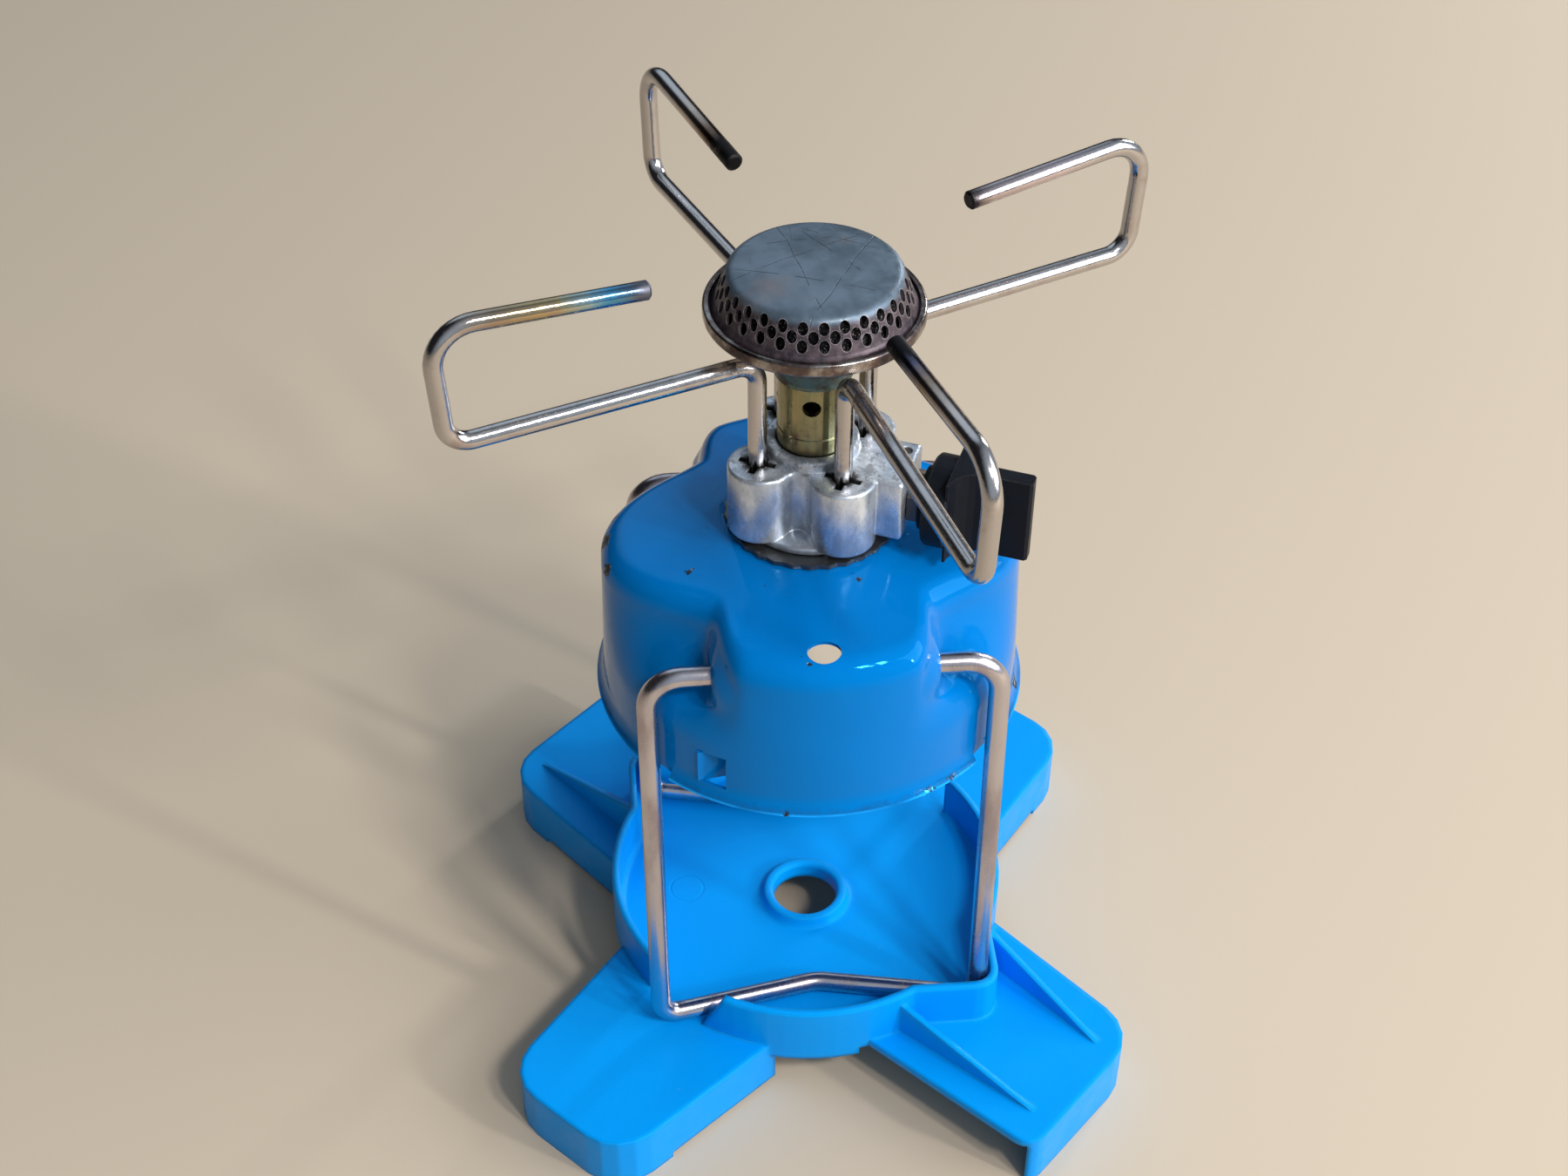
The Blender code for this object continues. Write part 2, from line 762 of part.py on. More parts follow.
def build_valve_body():
    body = prism("valve_body", body_outline(), body_bottom, body_top, cast_aluminium)
    half = block_width / 2
    block = box("block", (0, -half, block_bottom), (block_reach, half, body_top))
    block.rotation_euler = (0, 0, radians(spindle_angle))
    join(body, block)
    flange_bottom = body_bottom - seat_flange_drop
    spigot = [
        (0, body_top - body_edge),
        (seat_flange_radius - body_edge, body_bottom + body_edge),
        (seat_flange_radius, body_bottom),
        (seat_flange_radius, flange_bottom),
        (thread_radius, flange_bottom),
        (thread_radius, spigot_bottom + body_edge),
        (thread_radius - body_edge, spigot_bottom),
        (0, spigot_bottom),
    ]
    join(body, turned("spigot", spigot, 36, closed=False))
    foot_top = body_top + tube_foot_rise
    foot = [
        (0, foot_top),
        (tube_foot_radius - body_edge, foot_top),
        (tube_foot_radius - body_edge / 2, foot_top - body_edge / 2),
        (tube_foot_radius, body_top),
        (tube_foot_radius, body_top - body_edge),
        (0, body_top - body_edge),
    ]
    join(body, turned("tube_foot", foot, 36, closed=False))
    cuts = [
        (0, foot_top + overrun),
        (tube_radius + gap, foot_top + overrun),
        (tube_radius + gap, body_top),
        (jet_radius + gap, body_top),
        (jet_radius + gap, jet_bottom - filter_thickness - gap * 2),
        (0, jet_bottom - filter_thickness - gap * 2),
    ]
    cut(body, turned("tube_socket", cuts, 36, closed=False))
    seal_top = spigot_bottom + seal_inset
    lower = [
        (0, spindle_height),
        (gas_bore_radius, spindle_height),
        (gas_bore_radius, spigot_bottom + needle_seat_depth),
        (needle_radius + gap, spigot_bottom + needle_seat_depth),
        (needle_radius + gap, seal_top),
        (seal_radius + gap, seal_top),
        (seal_radius + gap, spigot_bottom - overrun),
        (0, spigot_bottom - overrun),
    ]
    cut(body, turned("needle_bore", lower, 24, closed=False))
    seal_seat = spindle_radius + gap * 2 + seal_ring_wire * 2
    chamber = spindle_thread_radius + gap
    bores = [
        (0, block_reach + overrun),
        (gland_radius + gap, block_reach + overrun),
        (gland_radius + gap, gland_start - gap),
        (seal_seat, gland_start - gap),
        (seal_seat, seal_seat_start),
        (chamber, seal_seat_start),
        (chamber, spindle_seat + chamber / 2),
        (seat_bore_radius, spindle_seat),
        (seat_bore_radius, 0),
        (0, 0),
    ]
    cut(body, along_spindle(turned("spindle_bore", bores, 24, closed=False)))
    outlet_rise = jet_bottom - filter_thickness - spindle_height
    outlet = rod("gas_outlet", seat_bore_radius, outlet_rise, 10)
    outlet_spot = turn([(outlet_offset + seat_bore_radius, 0)], spindle_angle)[0]
    outlet.location = (*outlet_spot, spindle_height + outlet_rise / 2)
    cut(body, outlet)
    pin_hole = rod("gland_pin_hole", gland_pin_radius + gap, gland_pin_length + overrun * 2, 12)
    pin_spot = turn([(gland_pin_place, gland_pin_aside)], spindle_angle)[0]
    pin_hole.location = (*pin_spot, body_top - gland_pin_length / 2 + overrun - gap)
    cut(body, pin_hole)
    for i, angle in enumerate(socket_angles):
        spot = turn([(socket_offset, 0)], angle)[0]
        bottom = rod_foot_height - gap
        bore = prism(f"socket_{i}", circle(rod_radius + gap, 16), bottom, body_top + overrun)
        bore.location = (*spot, 0)
        cut(body, bore)
        for k in range(2):
            reach, half_slot = socket_notch_reach, socket_notch_width / 2
            slot = box(
                f"socket_notch_{i}_{k}",
                (-reach, -half_slot, body_top - socket_notch_depth),
                (reach, half_slot, body_top + overrun),
            )
            slot.location = (*spot, 0)
            slot.rotation_euler = (0, 0, radians(angle + 45 + 90 * k))
            cut(body, slot)
    pin = rod("gland_pin", gland_pin_radius, gland_pin_length, 12, dark_steel)
    pin.location = (*pin_spot, body_top - gap - gland_pin_length / 2)


# Spindle, gland, seal ring and knob

def build_spindle():
    spindle = [
        (0, knob_bore_end - gap),
        (spindle_radius, knob_bore_end - gap),
        (spindle_radius, spindle_thread_end),
        (spindle_thread_radius, spindle_thread_end),
        (spindle_thread_radius, spindle_tip + spindle_cone * 2),
        (spindle_radius, spindle_tip + spindle_cone * 2),
        (spindle_radius, spindle_tip + spindle_cone),
        (seat_bore_radius / 2, spindle_tip),
        (0, spindle_tip),
    ]
    along_spindle(turned("valve_spindle", spindle, 20, dark_steel, closed=False))
    bore = spindle_radius + gap
    head_start = block_reach + gap
    pin_room = gland_pin_radius + gap
    gland = [
        (0, head_start + gap),
        (gland_radius, head_start + gap),
        (gland_radius, gland_pin_place + pin_room),
        (gland_groove_radius, gland_pin_place + pin_room),
        (gland_groove_radius, gland_pin_place - pin_room),
        (gland_radius, gland_pin_place - pin_room),
        (gland_radius, gland_start),
        (0, gland_start),
    ]
    nut = along_spindle(turned("gland_nut", gland, 24, dark_steel, closed=False))
    hexagon = circle(gland_across_flats / 2 / cos(pi / 6), 6)
    head = along_spindle(prism("gland_head", hexagon, head_start, gland_head_end))
    join(nut, head)
    cut(nut, along_spindle(rod("gland_bore", bore, gland_head_end * 3, 24)))
    middle = spindle_radius + gap + seal_ring_wire
    place_along = gland_start - gap - seal_ring_wire - gap
    ring = [(middle + x, place_along - y) for x, y in circle(seal_ring_wire, 8)]
    along_spindle(turned("spindle_seal_ring", ring, 20, rubber))


def build_knob():
    edge = knob_edge
    disc = [
        (0, knob_disc_end),
        (knob_disc_radius - edge, knob_disc_end),
        (knob_disc_radius, knob_disc_end - edge),
        (knob_disc_radius, knob_disc_start + edge),
        (knob_disc_radius - edge, knob_disc_start),
        (knob_collar_radius, knob_disc_start),
        (knob_collar_radius, knob_start),
        (0, knob_start),
    ]
    knob = along_spindle(turned("control_knob", disc, 40, black_plastic, closed=False))
    half = knob_grip_thickness / 2
    scoop = []
    for k in range(7):
        arc = radians(90) * k / 6
        along = knob_disc_end + knob_scoop_radius * (1 - sin(arc))
        scoop.append((half + knob_scoop_radius * (1 - cos(arc)), along))
    side = [(half - edge, knob_end), (half, knob_end - edge)] + scoop
    side.append((half + knob_scoop_radius, knob_disc_end - edge))
    outline = [(-y, along) for y, along in side[::-1]] + side
    ends = (-knob_grip_half_height, knob_grip_half_height)
    grip = loft("knob_grip", [[(end, y, along) for y, along in outline] for end in ends])
    along_spindle(grip)
    join(knob, grip)
    bore = [
        (0, knob_bore_end),
        (spindle_radius + gap, knob_bore_end),
        (spindle_radius + gap, knob_start - overrun),
        (0, knob_start - overrun),
    ]
    cut(knob, along_spindle(turned("knob_bore", bore, 20, closed=False)))


# Burner tube and head

def build_tube():
    inner = tube_radius - tube_wall
    outline = [
        (tube_neck_radius, tube_top),
        (tube_neck_radius, collar_bottom),
        (tube_radius, collar_bottom - gap),
        (tube_radius, tube_groove_height + tube_groove_depth),
        (tube_radius - tube_groove_depth, tube_groove_height),
        (tube_radius, tube_groove_height - tube_groove_depth),
        (tube_radius, body_top + gap),
        (inner, body_top + gap),
        (inner, tube_top),
    ]
    tube = turned("burner_tube", outline, 36, passivated_steel)
    for k in range(air_hole_count // 2):
        drill = rod(f"air_hole_{k}", air_hole_radius, tube_radius * 3, 16)
        drill.rotation_euler = (0, pi / 2, radians(air_hole_angle + 180 * k / (air_hole_count // 2)))
        drill.location = (0, 0, air_hole_height)
        cut(tube, drill)
    bore = tube_neck_radius + gap
    swell = (collar_lower_radius + collar_upper_radius) / 2
    collar = [
        (collar_upper_radius, collar_top),
        (collar_upper_radius, collar_top - collar_wall * 2),
        (swell, collar_bottom + collar_height * 0.45),
        (collar_lower_radius, collar_bottom + collar_wall),
        (collar_lower_radius, collar_bottom),
        (bore, collar_bottom),
        (bore, tube_top),
        (collar_upper_radius - collar_wall * 2, tube_top + collar_wall),
        (collar_upper_radius - collar_wall * 2, collar_top),
    ]
    turned("burner_collar", collar, 36, green_steel)


def pan_points():
    """The pan's section: a dish whose edge is folded up and over the cap's foot."""
    shelf = collar_top + gap
    ledge = rim_height - rim_lip / 2
    wall = rim_radius - pan_thickness
    lip_top = ledge + cap_thickness + gap * 2 + pan_thickness
    lip_edge = wall - rim_lip
    return [
        (lip_edge, lip_top),
        (rim_radius - rim_bevel, lip_top),
        (rim_radius, lip_top - rim_bevel),
        (rim_radius, ledge - pan_thickness + rim_bevel),
        (rim_radius - rim_bevel, ledge - pan_thickness),
        (pan_edge_radius, ledge - pan_thickness * 2),
        (pan_shelf_radius, shelf),
        (tube_neck_radius, shelf),
        (tube_neck_radius, shelf + pan_thickness),
        (pan_shelf_radius - pan_thickness / 2, shelf + pan_thickness),
        (pan_edge_radius - pan_thickness / 2, ledge - pan_thickness),
        (pan_edge_radius + pan_thickness / 2, ledge),
        (wall, ledge),
        (wall, lip_top - pan_thickness),
        (lip_edge, lip_top - pan_thickness),
    ]


def cap_points():
    """The cap's outer and inner lines, from the middle of its top to its foot and back."""
    foot = rim_height - rim_lip / 2 + gap
    wall = rim_radius - pan_thickness
    neck = wall - rim_lip - gap
    cone_top = cap_height - cap_shoulder
    flare_top = foot + pan_thickness * 3 + gap
    t = cap_thickness
    bend = cap_radius - cap_shoulder
    outer = [(0, cap_height + cap_dome), (bend * 0.6, cap_height + cap_dome * 0.6)]
    shoulder = []
    for k in range(5):
        arc = radians(20 * k)
        outer.append((bend + cap_shoulder * sin(arc), cone_top + cap_shoulder * cos(arc)))
        shoulder.append((bend + (cap_shoulder - t) * sin(arc), cone_top + (cap_shoulder - t) * cos(arc)))
    outer += [
        (neck - cap_flare, flare_top),
        (neck, foot + t + pan_thickness),
        (neck, foot + t),
        (wall - gap, foot + t),
        (wall - gap, foot),
    ]
    inner = [
        (neck - t, foot),
        (neck - t, foot + t + pan_thickness),
        (neck - cap_flare - t, flare_top),
    ]
    return outer, inner + shoulder[::-1] + [(0, cap_height + cap_dome - t)]


def hole_cutter(upper, lower):
    """All the flame holes in staggered rows, as one cutter, between two points of the cone's line."""
    form = bmesh.new()
    slope = atan2(lower[0] - upper[0], upper[1] - lower[1])
    for row, share in enumerate(hole_row_shares):
        radius = upper[0] + (lower[0] - upper[0]) * share
        height = upper[1] + (lower[1] - upper[1]) * share
        for k in range(hole_count):
            around = 2 * pi * (k + row % 2 / 2) / hole_count
            shape = (
                Matrix.Rotation(around, 4, "Z")
                @ Matrix.Translation((radius, 0, height))
                @ Matrix.Rotation(pi / 2 - slope, 4, "Y")
                @ Matrix.Diagonal((hole_tallness / 2, hole_width / 2, cap_thickness * 4, 1))
            )
            bmesh.ops.create_cone(
                form, cap_ends=True, segments=6, radius1=1, radius2=1, depth=1, matrix=shape
            )
    mesh = bpy.data.meshes.new("flame_holes")
    form.to_mesh(mesh)
    form.free()
    return place("flame_holes", mesh, None)


def build_head():
    turned("burner_pan", pan_points(), 40, burnt_steel)
    outer, inner = cap_points()
    cap = turned("burner_cap", outer + inner, 56, purple_steel, closed=False)
    cut(cap, hole_cutter(outer[6], outer[7]))
    upper, lower = inner[3], inner[2]
    inset = gauze_clearance
    foot = rim_height - rim_lip / 2 - pan_thickness / 2
    screen = [
        (upper[0] - inset, upper[1]),
        (lower[0] - inset, lower[1]),
        (lower[0] - inset, foot),
        (lower[0] - inset - gauze_thickness, foot),
        (lower[0] - inset - gauze_thickness, lower[1]),
        (upper[0] - inset - gauze_thickness, upper[1]),
    ]
    turned("burner_gauze", screen, 40, gauze)


# Pan supports

def build_supports():
    corners = [
        (0, 0, rod_foot_height),
        (0, 0, rod_lower_height),
        (rod_lower_reach, 0, rod_lower_end_height),
        (rod_upper_reach, 0, rod_upper_end_height),
        (rod_tip_reach, 0, rod_tip_height),
    ]
    path = rounded_path(corners, (rod_inner_bend, rod_lower_bend, rod_upper_bend), 5)
    for i, angle in enumerate(socket_angles):
        support = wire(f"pan_support_{i + 1}", path, rod_radius, 3, plated_rod)
        support.location = (*turn([(socket_offset, 0)], angle)[0], 0)
        support.rotation_euler = (0, 0, radians(support_directions[i]))


# Jet, filter, needle and cartridge seal

def build_gas_way():
    head_bottom = body_top + gap
    jet = [
        (jet_orifice_radius * 2, jet_top),
        (jet_head_radius, jet_top - jet_shoulder),
        (jet_head_radius, head_bottom),
        (jet_radius, head_bottom),
        (jet_radius, jet_bottom),
        (gas_bore_radius, jet_bottom),
        (gas_bore_radius, jet_top - jet_shoulder),
        (jet_orifice_radius, jet_top - jet_shoulder / 2),
        (jet_orifice_radius, jet_top),
    ]
    turned("jet", jet, 20, brass)
    filter_top = jet_bottom - gap
    rod_length = filter_thickness
    disc = rod("jet_filter", jet_radius, rod_length, 16, gauze)
    disc.location = (0, 0, filter_top - rod_length / 2)
    needle_top = spigot_bottom + needle_seat_depth - gap
    needle_end = needle_top - needle_length
    needle = [
        (needle_radius, needle_top),
        (needle_radius, needle_end + needle_tip_length),
        (needle_bore_radius * 1.3, needle_end),
        (needle_bore_radius, needle_end),
        (needle_bore_radius, needle_top),
    ]
    turned("piercing_needle", needle, 16, dark_steel)
    seal_top = spigot_bottom + seal_inset - gap
    seal = [
        (seal_radius, seal_top),
        (seal_radius, seal_top - seal_thickness),
        (needle_radius + gap, seal_top - seal_thickness),
        (needle_radius + gap, seal_top),
    ]
    turned("cartridge_seal", seal, 28, rubber)


build_base()
build_bail("front_bail", -1)
build_bail("rear_bail", 1)
build_housing()
build_bush()
build_valve_body()
build_spindle()
build_knob()
build_tube()
build_head()
build_supports()
build_gas_way()
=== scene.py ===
from math import atan, atan2, cos, degrees, pi, radians, sin, tan

import bmesh
import bpy
from mathutils import Matrix, Vector


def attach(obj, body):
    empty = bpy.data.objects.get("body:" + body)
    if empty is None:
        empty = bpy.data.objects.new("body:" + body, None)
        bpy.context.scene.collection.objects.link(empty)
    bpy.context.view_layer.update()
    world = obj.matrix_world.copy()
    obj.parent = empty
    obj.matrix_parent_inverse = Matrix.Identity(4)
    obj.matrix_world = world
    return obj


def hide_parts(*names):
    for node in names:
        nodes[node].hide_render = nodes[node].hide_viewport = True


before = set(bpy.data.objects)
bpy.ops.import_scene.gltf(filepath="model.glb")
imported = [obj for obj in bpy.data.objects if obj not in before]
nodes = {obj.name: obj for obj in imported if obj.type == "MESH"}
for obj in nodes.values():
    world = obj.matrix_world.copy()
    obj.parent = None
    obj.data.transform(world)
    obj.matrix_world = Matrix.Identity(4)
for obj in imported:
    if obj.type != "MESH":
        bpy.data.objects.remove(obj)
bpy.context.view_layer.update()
print("frame loaded:", len(nodes), "nodes")


def addObject(name, data):
    made = bpy.data.objects.new(name, data)
    bpy.context.scene.collection.objects.link(made)
    return made


def turned(angle, axis="Z"):
    return Matrix.Rotation(radians(angle), 4, axis)


# Smooth, but with a hard edge where faces meet at more than this many degrees
def smooth(mesh, angle):
    mesh.shade_smooth()
    mesh.set_sharp_from_angle(angle=radians(angle))


def addForm(form, name, material=None):
    mesh = bpy.data.meshes.new(name)
    bmesh.ops.recalc_face_normals(form, faces=form.faces)
    form.to_mesh(mesh)
    form.free()
    if material:
        mesh.materials.append(material)
    return addObject(name, mesh)


def modify(piece, kind, **settings):
    change = piece.modifiers.new(kind, kind)
    for key, value in settings.items():
        setattr(change, key, value)


camera = {
    "place": (-0.041, -0.3934, 0.4648),
    "turn": -5.1,  # degrees, more to the left where it is higher
    "tilt": -41.2,
    "roll": 0.4,
    "lens": 53.594,  # mm, as is the sensor
    "sensor": 36,
    "nearest": 0.01,
}


def addCamera():
    turn, tilt = radians(camera["turn"]), radians(camera["tilt"])
    ahead = Vector((-sin(turn) * cos(tilt), cos(turn) * cos(tilt), sin(tilt)))
    data = bpy.data.cameras.new("camera")
    data.lens, data.sensor_width, data.clip_start = camera["lens"], camera["sensor"], camera["nearest"]
    made = addObject("camera", data)
    made.location = camera["place"]
    made.rotation_mode = "QUATERNION"
    made.rotation_quaternion = ahead.to_track_quat("-Z", "Y") @ turned(camera["roll"]).to_quaternion()
    bpy.context.scene.camera = made


lamps = {
    # direction from the stove, distance, width, height, watts, colour, whether gloss shows it
    "windowPane": ((0.3, -0.6, 0.74), 1.3, 0.09, 0.17, 4.4, (1.0, 0.98, 0.95), True),
    "windowOtherPane": ((0.42, -0.54, 0.73), 1.3, 0.09, 0.17, 4.4, (1.0, 0.98, 0.95), True),
    "windowLow": ((0.75, -0.55, 0.36), 1.3, 0.06, 0.14, 5, (1.0, 0.98, 0.95), True),
    "windowBehind": ((0.62, 0.7, 0.3), 1.5, 0.16, 0.5, 7, (0.95, 0.98, 1.0), True),
    "skyRight": ((0.9, -0.25, 0.5), 1.6, 1.3, 1.1, 17, (0.88, 0.94, 1.0), True),
    "skyFront": ((0.3, -0.9, 0.4), 1.7, 1.2, 0.8, 2.5, (0.86, 0.93, 1.0), False),
}
room = {
    "dim": (0.03, 0.03, 0.036),  # what lies to the back and left of the stove
    # what is brighter: its colour, the way to it, and the cosines of the angles where it starts and is full
    "bright": (
        ((0.72, 0.84, 0.98), (0.78, -0.6, 0.15), -0.35, 0.6),  # the window's side
        ((1.0, 1.22, 1.45), Vector((-0.16, 0.72, 0.67)).normalized(), 0.84, 0.99),  # a pale wall behind
    ),
    "strength": 0.6,
    "lampAim": (0, 0, 0.12),
    "floor": (0.58, 0.47, 0.35),
    "floorSize": 8,
}


def addLamps():
    aim = Vector(room["lampAim"])
    for name, (direction, distance, width, height, watts, colour, inGloss) in lamps.items():
        data = bpy.data.lights.new(name, "AREA")
        data.shape = "RECTANGLE"
        data.size, data.size_y, data.energy, data.color = width, height, watts, colour
        lamp = addObject(name, data)
        lamp.visible_glossy = inGloss
        lamp.location = aim + Vector(direction).normalized() * distance
        lamp.rotation_euler = (lamp.location - aim).to_track_quat("Z", "Y").to_euler()


def addRoom():
    world = bpy.data.worlds.new("room")
    bpy.context.scene.world = world
    world.use_nodes = True
    made = NodeTree(world.node_tree, "Generated")
    colour = room["dim"]
    for bright, direction, low, high in room["bright"]:
        facing = made.add("VectorMath", {0: made.place, 1: direction}, output=1, operation="DOT_PRODUCT")
        colour = made.mix(made.step(facing, low, high), colour, bright)
    around = made.nodes["Background"]
    around.inputs["Strength"].default_value = room["strength"]
    made.links.new(colour, around.inputs["Color"])
    bpy.context.scene.view_settings.view_transform = "Standard"


def addFloor():
    half = room["floorSize"] / 2
    mesh = bpy.data.meshes.new("floor")
    corners = [(x * half, y * half, 0) for x, y in ((-1, -1), (1, -1), (1, 1), (-1, 1))]
    mesh.from_pydata(corners, [], [(0, 1, 2, 3)])
    mesh.materials.append(Finish("paleFloor", colour=room["floor"], roughness=0.7, specular=0.2).material)
    floor = addObject("floor", mesh)


socketNames = {
    "colour": "Base Color",
    "roughness": "Roughness",
    "metallic": "Metallic",
    "coat": "Coat Weight",
    "coatRoughness": "Coat Roughness",
    "specular": "Specular IOR Level",
    "gloss": "Specular Tint",
    "normal": "Normal",
    "coatNormal": "Coat Normal",
}


# Short ways to write nodes. Lengths are metres in the stove's own frame.
class NodeTree:
    def __init__(self, tree, place="Object"):
        self.nodes, self.links = tree.nodes, tree.links
        self.place = self.nodes.new("ShaderNodeTexCoord").outputs[place]

    def add(self, kind, inputs=(), output=0, **settings):
        made = self.nodes.new("ShaderNode" + kind)
        for key, value in settings.items():
            setattr(made, key, value)
        for key, value in dict(inputs).items():
            if isinstance(value, bpy.types.NodeSocket):
                self.links.new(value, made.inputs[key])
            elif value is not None:
                made.inputs[key].default_value = value
        return made.outputs[output]

    def math(self, operation, a, b=None, c=None):
        return self.add("Math", {0: a, 1: b, 2: c}, operation=operation)

    def scaled(self, value, factor, added):
        return self.math("MULTIPLY_ADD", value, factor, added)

    def chain(self, operation, first, *others):
        for other in others:
            first = self.math(operation, first, other)
        return first

    def product(self, *values):
        return self.chain("MULTIPLY", *values)

    def either(self, *values):
        return self.chain("MAXIMUM", *values)

    def stretched(self, scale, turn=0):
        inputs = {"Vector": self.place, "Scale": scale, "Rotation": (0, 0, radians(turn))}
        return self.add("Mapping", inputs)

    # Soft noise from 0 to 1 whose lumps are about this wide
    def noise(self, size, detail=3, roughness=0.55, place=None, shift=0.0):
        inputs = {"Vector": place or self.place, "W": shift, "Scale": 1 / size}
        inputs |= {"Detail": detail, "Roughness": roughness}
        return self.add("TexNoise", inputs, noise_dimensions="4D")

    # Such noise, put through a step with these limits
    def patches(self, limits, *size, **more):
        return self.step(self.noise(*size, **more), *limits)

    def part(self, key):
        made = self.add("SeparateXYZ", {0: self.place})
        return made.node.outputs["XYZ".index(key)]

    # How far it is from the upright line through this spot
    def axisDistance(self, x=0.0, y=0.0):
        flat = self.add("VectorMath", {0: self.place, 1: (-x, -y, 0)}, operation="ADD")
        flat = self.add("VectorMath", {0: flat, 1: (1, 1, 0)}, operation="MULTIPLY")
        return self.add("VectorMath", {0: flat}, output=1, operation="LENGTH")

    def distance(self, point):
        return self.add("VectorMath", {0: self.place, 1: point}, output=1, operation="DISTANCE")

    # A smooth step between two limits, where the high one may be the smaller
    def step(self, value, low, high, bottom=0.0, top=1.0):
        if high < low:
            low, high, bottom, top = high, low, top, bottom
        inputs = {"Value": value, "From Min": low, "From Max": high, "To Min": bottom, "To Max": top}
        return self.add("MapRange", inputs, interpolation_type="SMOOTHSTEP")

    def mix(self, factor, first, second):
        first, second = [(*v, 1) if isinstance(v, tuple) else v for v in (first, second)]
        made = self.add("Mix", {0: factor, 6: first, 7: second}, data_type="RGBA")
        return made.node.outputs[2]

    def ramp(self, value, stops):
        made = self.add("ValToRGB", {0: value}).node
        band = made.color_ramp
        while len(band.elements) < len(stops):
            band.elements.new(0.5)
        for element, (spot, colour) in zip(band.elements, stops):
            element.position = spot
            element.color = (*colour, 1)
        return made.outputs[0]

    def rounded(self, reach):
        return self.add("Bevel", {"Radius": reach}, samples=6)

    # 1 on the edges and 0 away from them, this far to each side
    def edges(self, reach):
        plain = self.add("NewGeometry", output=1)
        apart = self.add("VectorMath", {0: self.rounded(reach), 1: plain}, output=1, operation="DISTANCE")
        return self.step(apart, 0.25, 0.5)

    def bump(self, height, distance, before=None):
        return self.add("Bump", {"Height": height, "Distance": distance, "Strength": 1.0, "Normal": before})


class Finish(NodeTree):
    def __init__(self, name, **sockets):
        self.material = bpy.data.materials.new(name)
        self.material.use_nodes = True
        super().__init__(self.material.node_tree)
        self.shader = self.nodes["Principled BSDF"]
        for key, value in sockets.items():
            value = (*value, 1) if isinstance(value, tuple) else value
            self.shader.inputs[socketNames[key]].default_value = value

    def set(self, key, value):
        self.links.new(value, self.shader.inputs[socketNames[key]])

    def setColour(self, mask, first, second):
        self.set("colour", self.mix(mask, first, second))

    # Roughness between two values that follows some noise
    def setRoughness(self, noise, least, most):
        self.set("roughness", self.step(noise, 0.3, 0.7, least, most))

    def setBump(self, height, distance, before=None):
        self.set("normal", self.bump(height, distance, before))


paint = {
    "colour": (0.0002, 0.148, 0.46),
    "lighter": (0.0003, 0.175, 0.54),
    # paler blue on the rim's lip, partly wear and partly a painted highlight
    "edge": (0.01, 0.33, 0.85),
    "gloss": (0.02, 0.6, 1.0),
    "chip": (0.022, 0.016, 0.013),
    "bare": (0.3, 0.33, 0.36),
    "grime": (0.012, 0.03, 0.05),
    # where the paint is knocked off, and how wide
    "knocks": (
        ((-0.0045, -0.0433, 0.1362), 0.0008),
        ((-0.0278, -0.0149, 0.1388), 0.0012),
        ((0.0081, -0.0215, 0.139), 0.0004),
        ((-0.0455, 0.002, 0.1335), 0.0022),
        ((-0.0442, 0.009, 0.135), 0.0018),
        ((-0.0452, -0.006, 0.1325), 0.0016),
        ((0.0462, -0.0125, 0.0985), 0.0022),
        ((0.0357, -0.0301, 0.138), 0.0009),
    ),
}


def bluePaint():
    made = Finish("blueEnamel", specular=0.3, gloss=paint["gloss"], coat=0.03, coatRoughness=0.03)
    colour = made.mix(made.noise(0.03, 4), paint["colour"], paint["lighter"])
    height = made.part("Z")
    foot, ringRadius = housing["rimHeight"], housing["ringRadius"]
    uneven = made.scaled(made.noise(0.006, 5, 0.7, shift=6), -0.006, height)
    dirty = made.step(uneven, foot - 0.001, foot - 0.004)
    colour = made.mix(made.product(dirty, 0.55), colour, paint["grime"])
    # A broken paler line along the rim's lip: partly wear and partly a painted highlight
    lip = made.step(height, foot + 0.0005, foot + 0.0001)
    colour = made.mix(made.product(lip, made.patches((0.3, 0.6), 0.02, 3)), colour, paint["edge"])
    rim = made.step(height, foot + 0.0016, foot + 0.0002)
    rimWear = made.product(rim, made.patches((0.57, 0.61), 0.016, 5, 0.75))
    ring = made.step(made.axisDistance(), ringRadius + 0.009, ringRadius + 0.001)
    ringWear = made.product(ring, made.patches((0.64, 0.68), 0.0016, 4, 0.7))
    scattered = made.patches((0.5, 0.58), 0.012, 2, shift=5)
    specks = made.product(made.patches((0.74, 0.77), 0.0009, 2, shift=3), scattered)
    ragged = made.scaled(made.noise(0.0022, 4, 0.7, shift=4), 0.005, -0.0025)
    knocks = []
    for place, width in paint["knocks"]:
        away = made.math("ADD", made.distance(place), ragged)
        knocks.append(made.step(away, width, width * 0.8))
    wear = made.either(rimWear, ringWear, specks, *knocks)
    colour = made.mix(wear, colour, paint["chip"])
    bare = made.product(wear, made.patches((0.56, 0.6), 0.0012, 3, shift=9))
    made.setColour(bare, colour, paint["bare"])
    gloss = made.patches((0.3, 0.75, 0.035, 0.12), 0.02, 5)
    made.set("roughness", made.scaled(wear, 0.35, gloss))
    peel = made.bump(made.noise(0.0022, 2), 0.00002)
    dents = made.bump(made.noise(0.014, 2), 0.00016, before=peel)
    made.setBump(made.math("SUBTRACT", 1.0, wear), 0.00012, before=dents)
    made.set("coatNormal", dents)
    return made.material


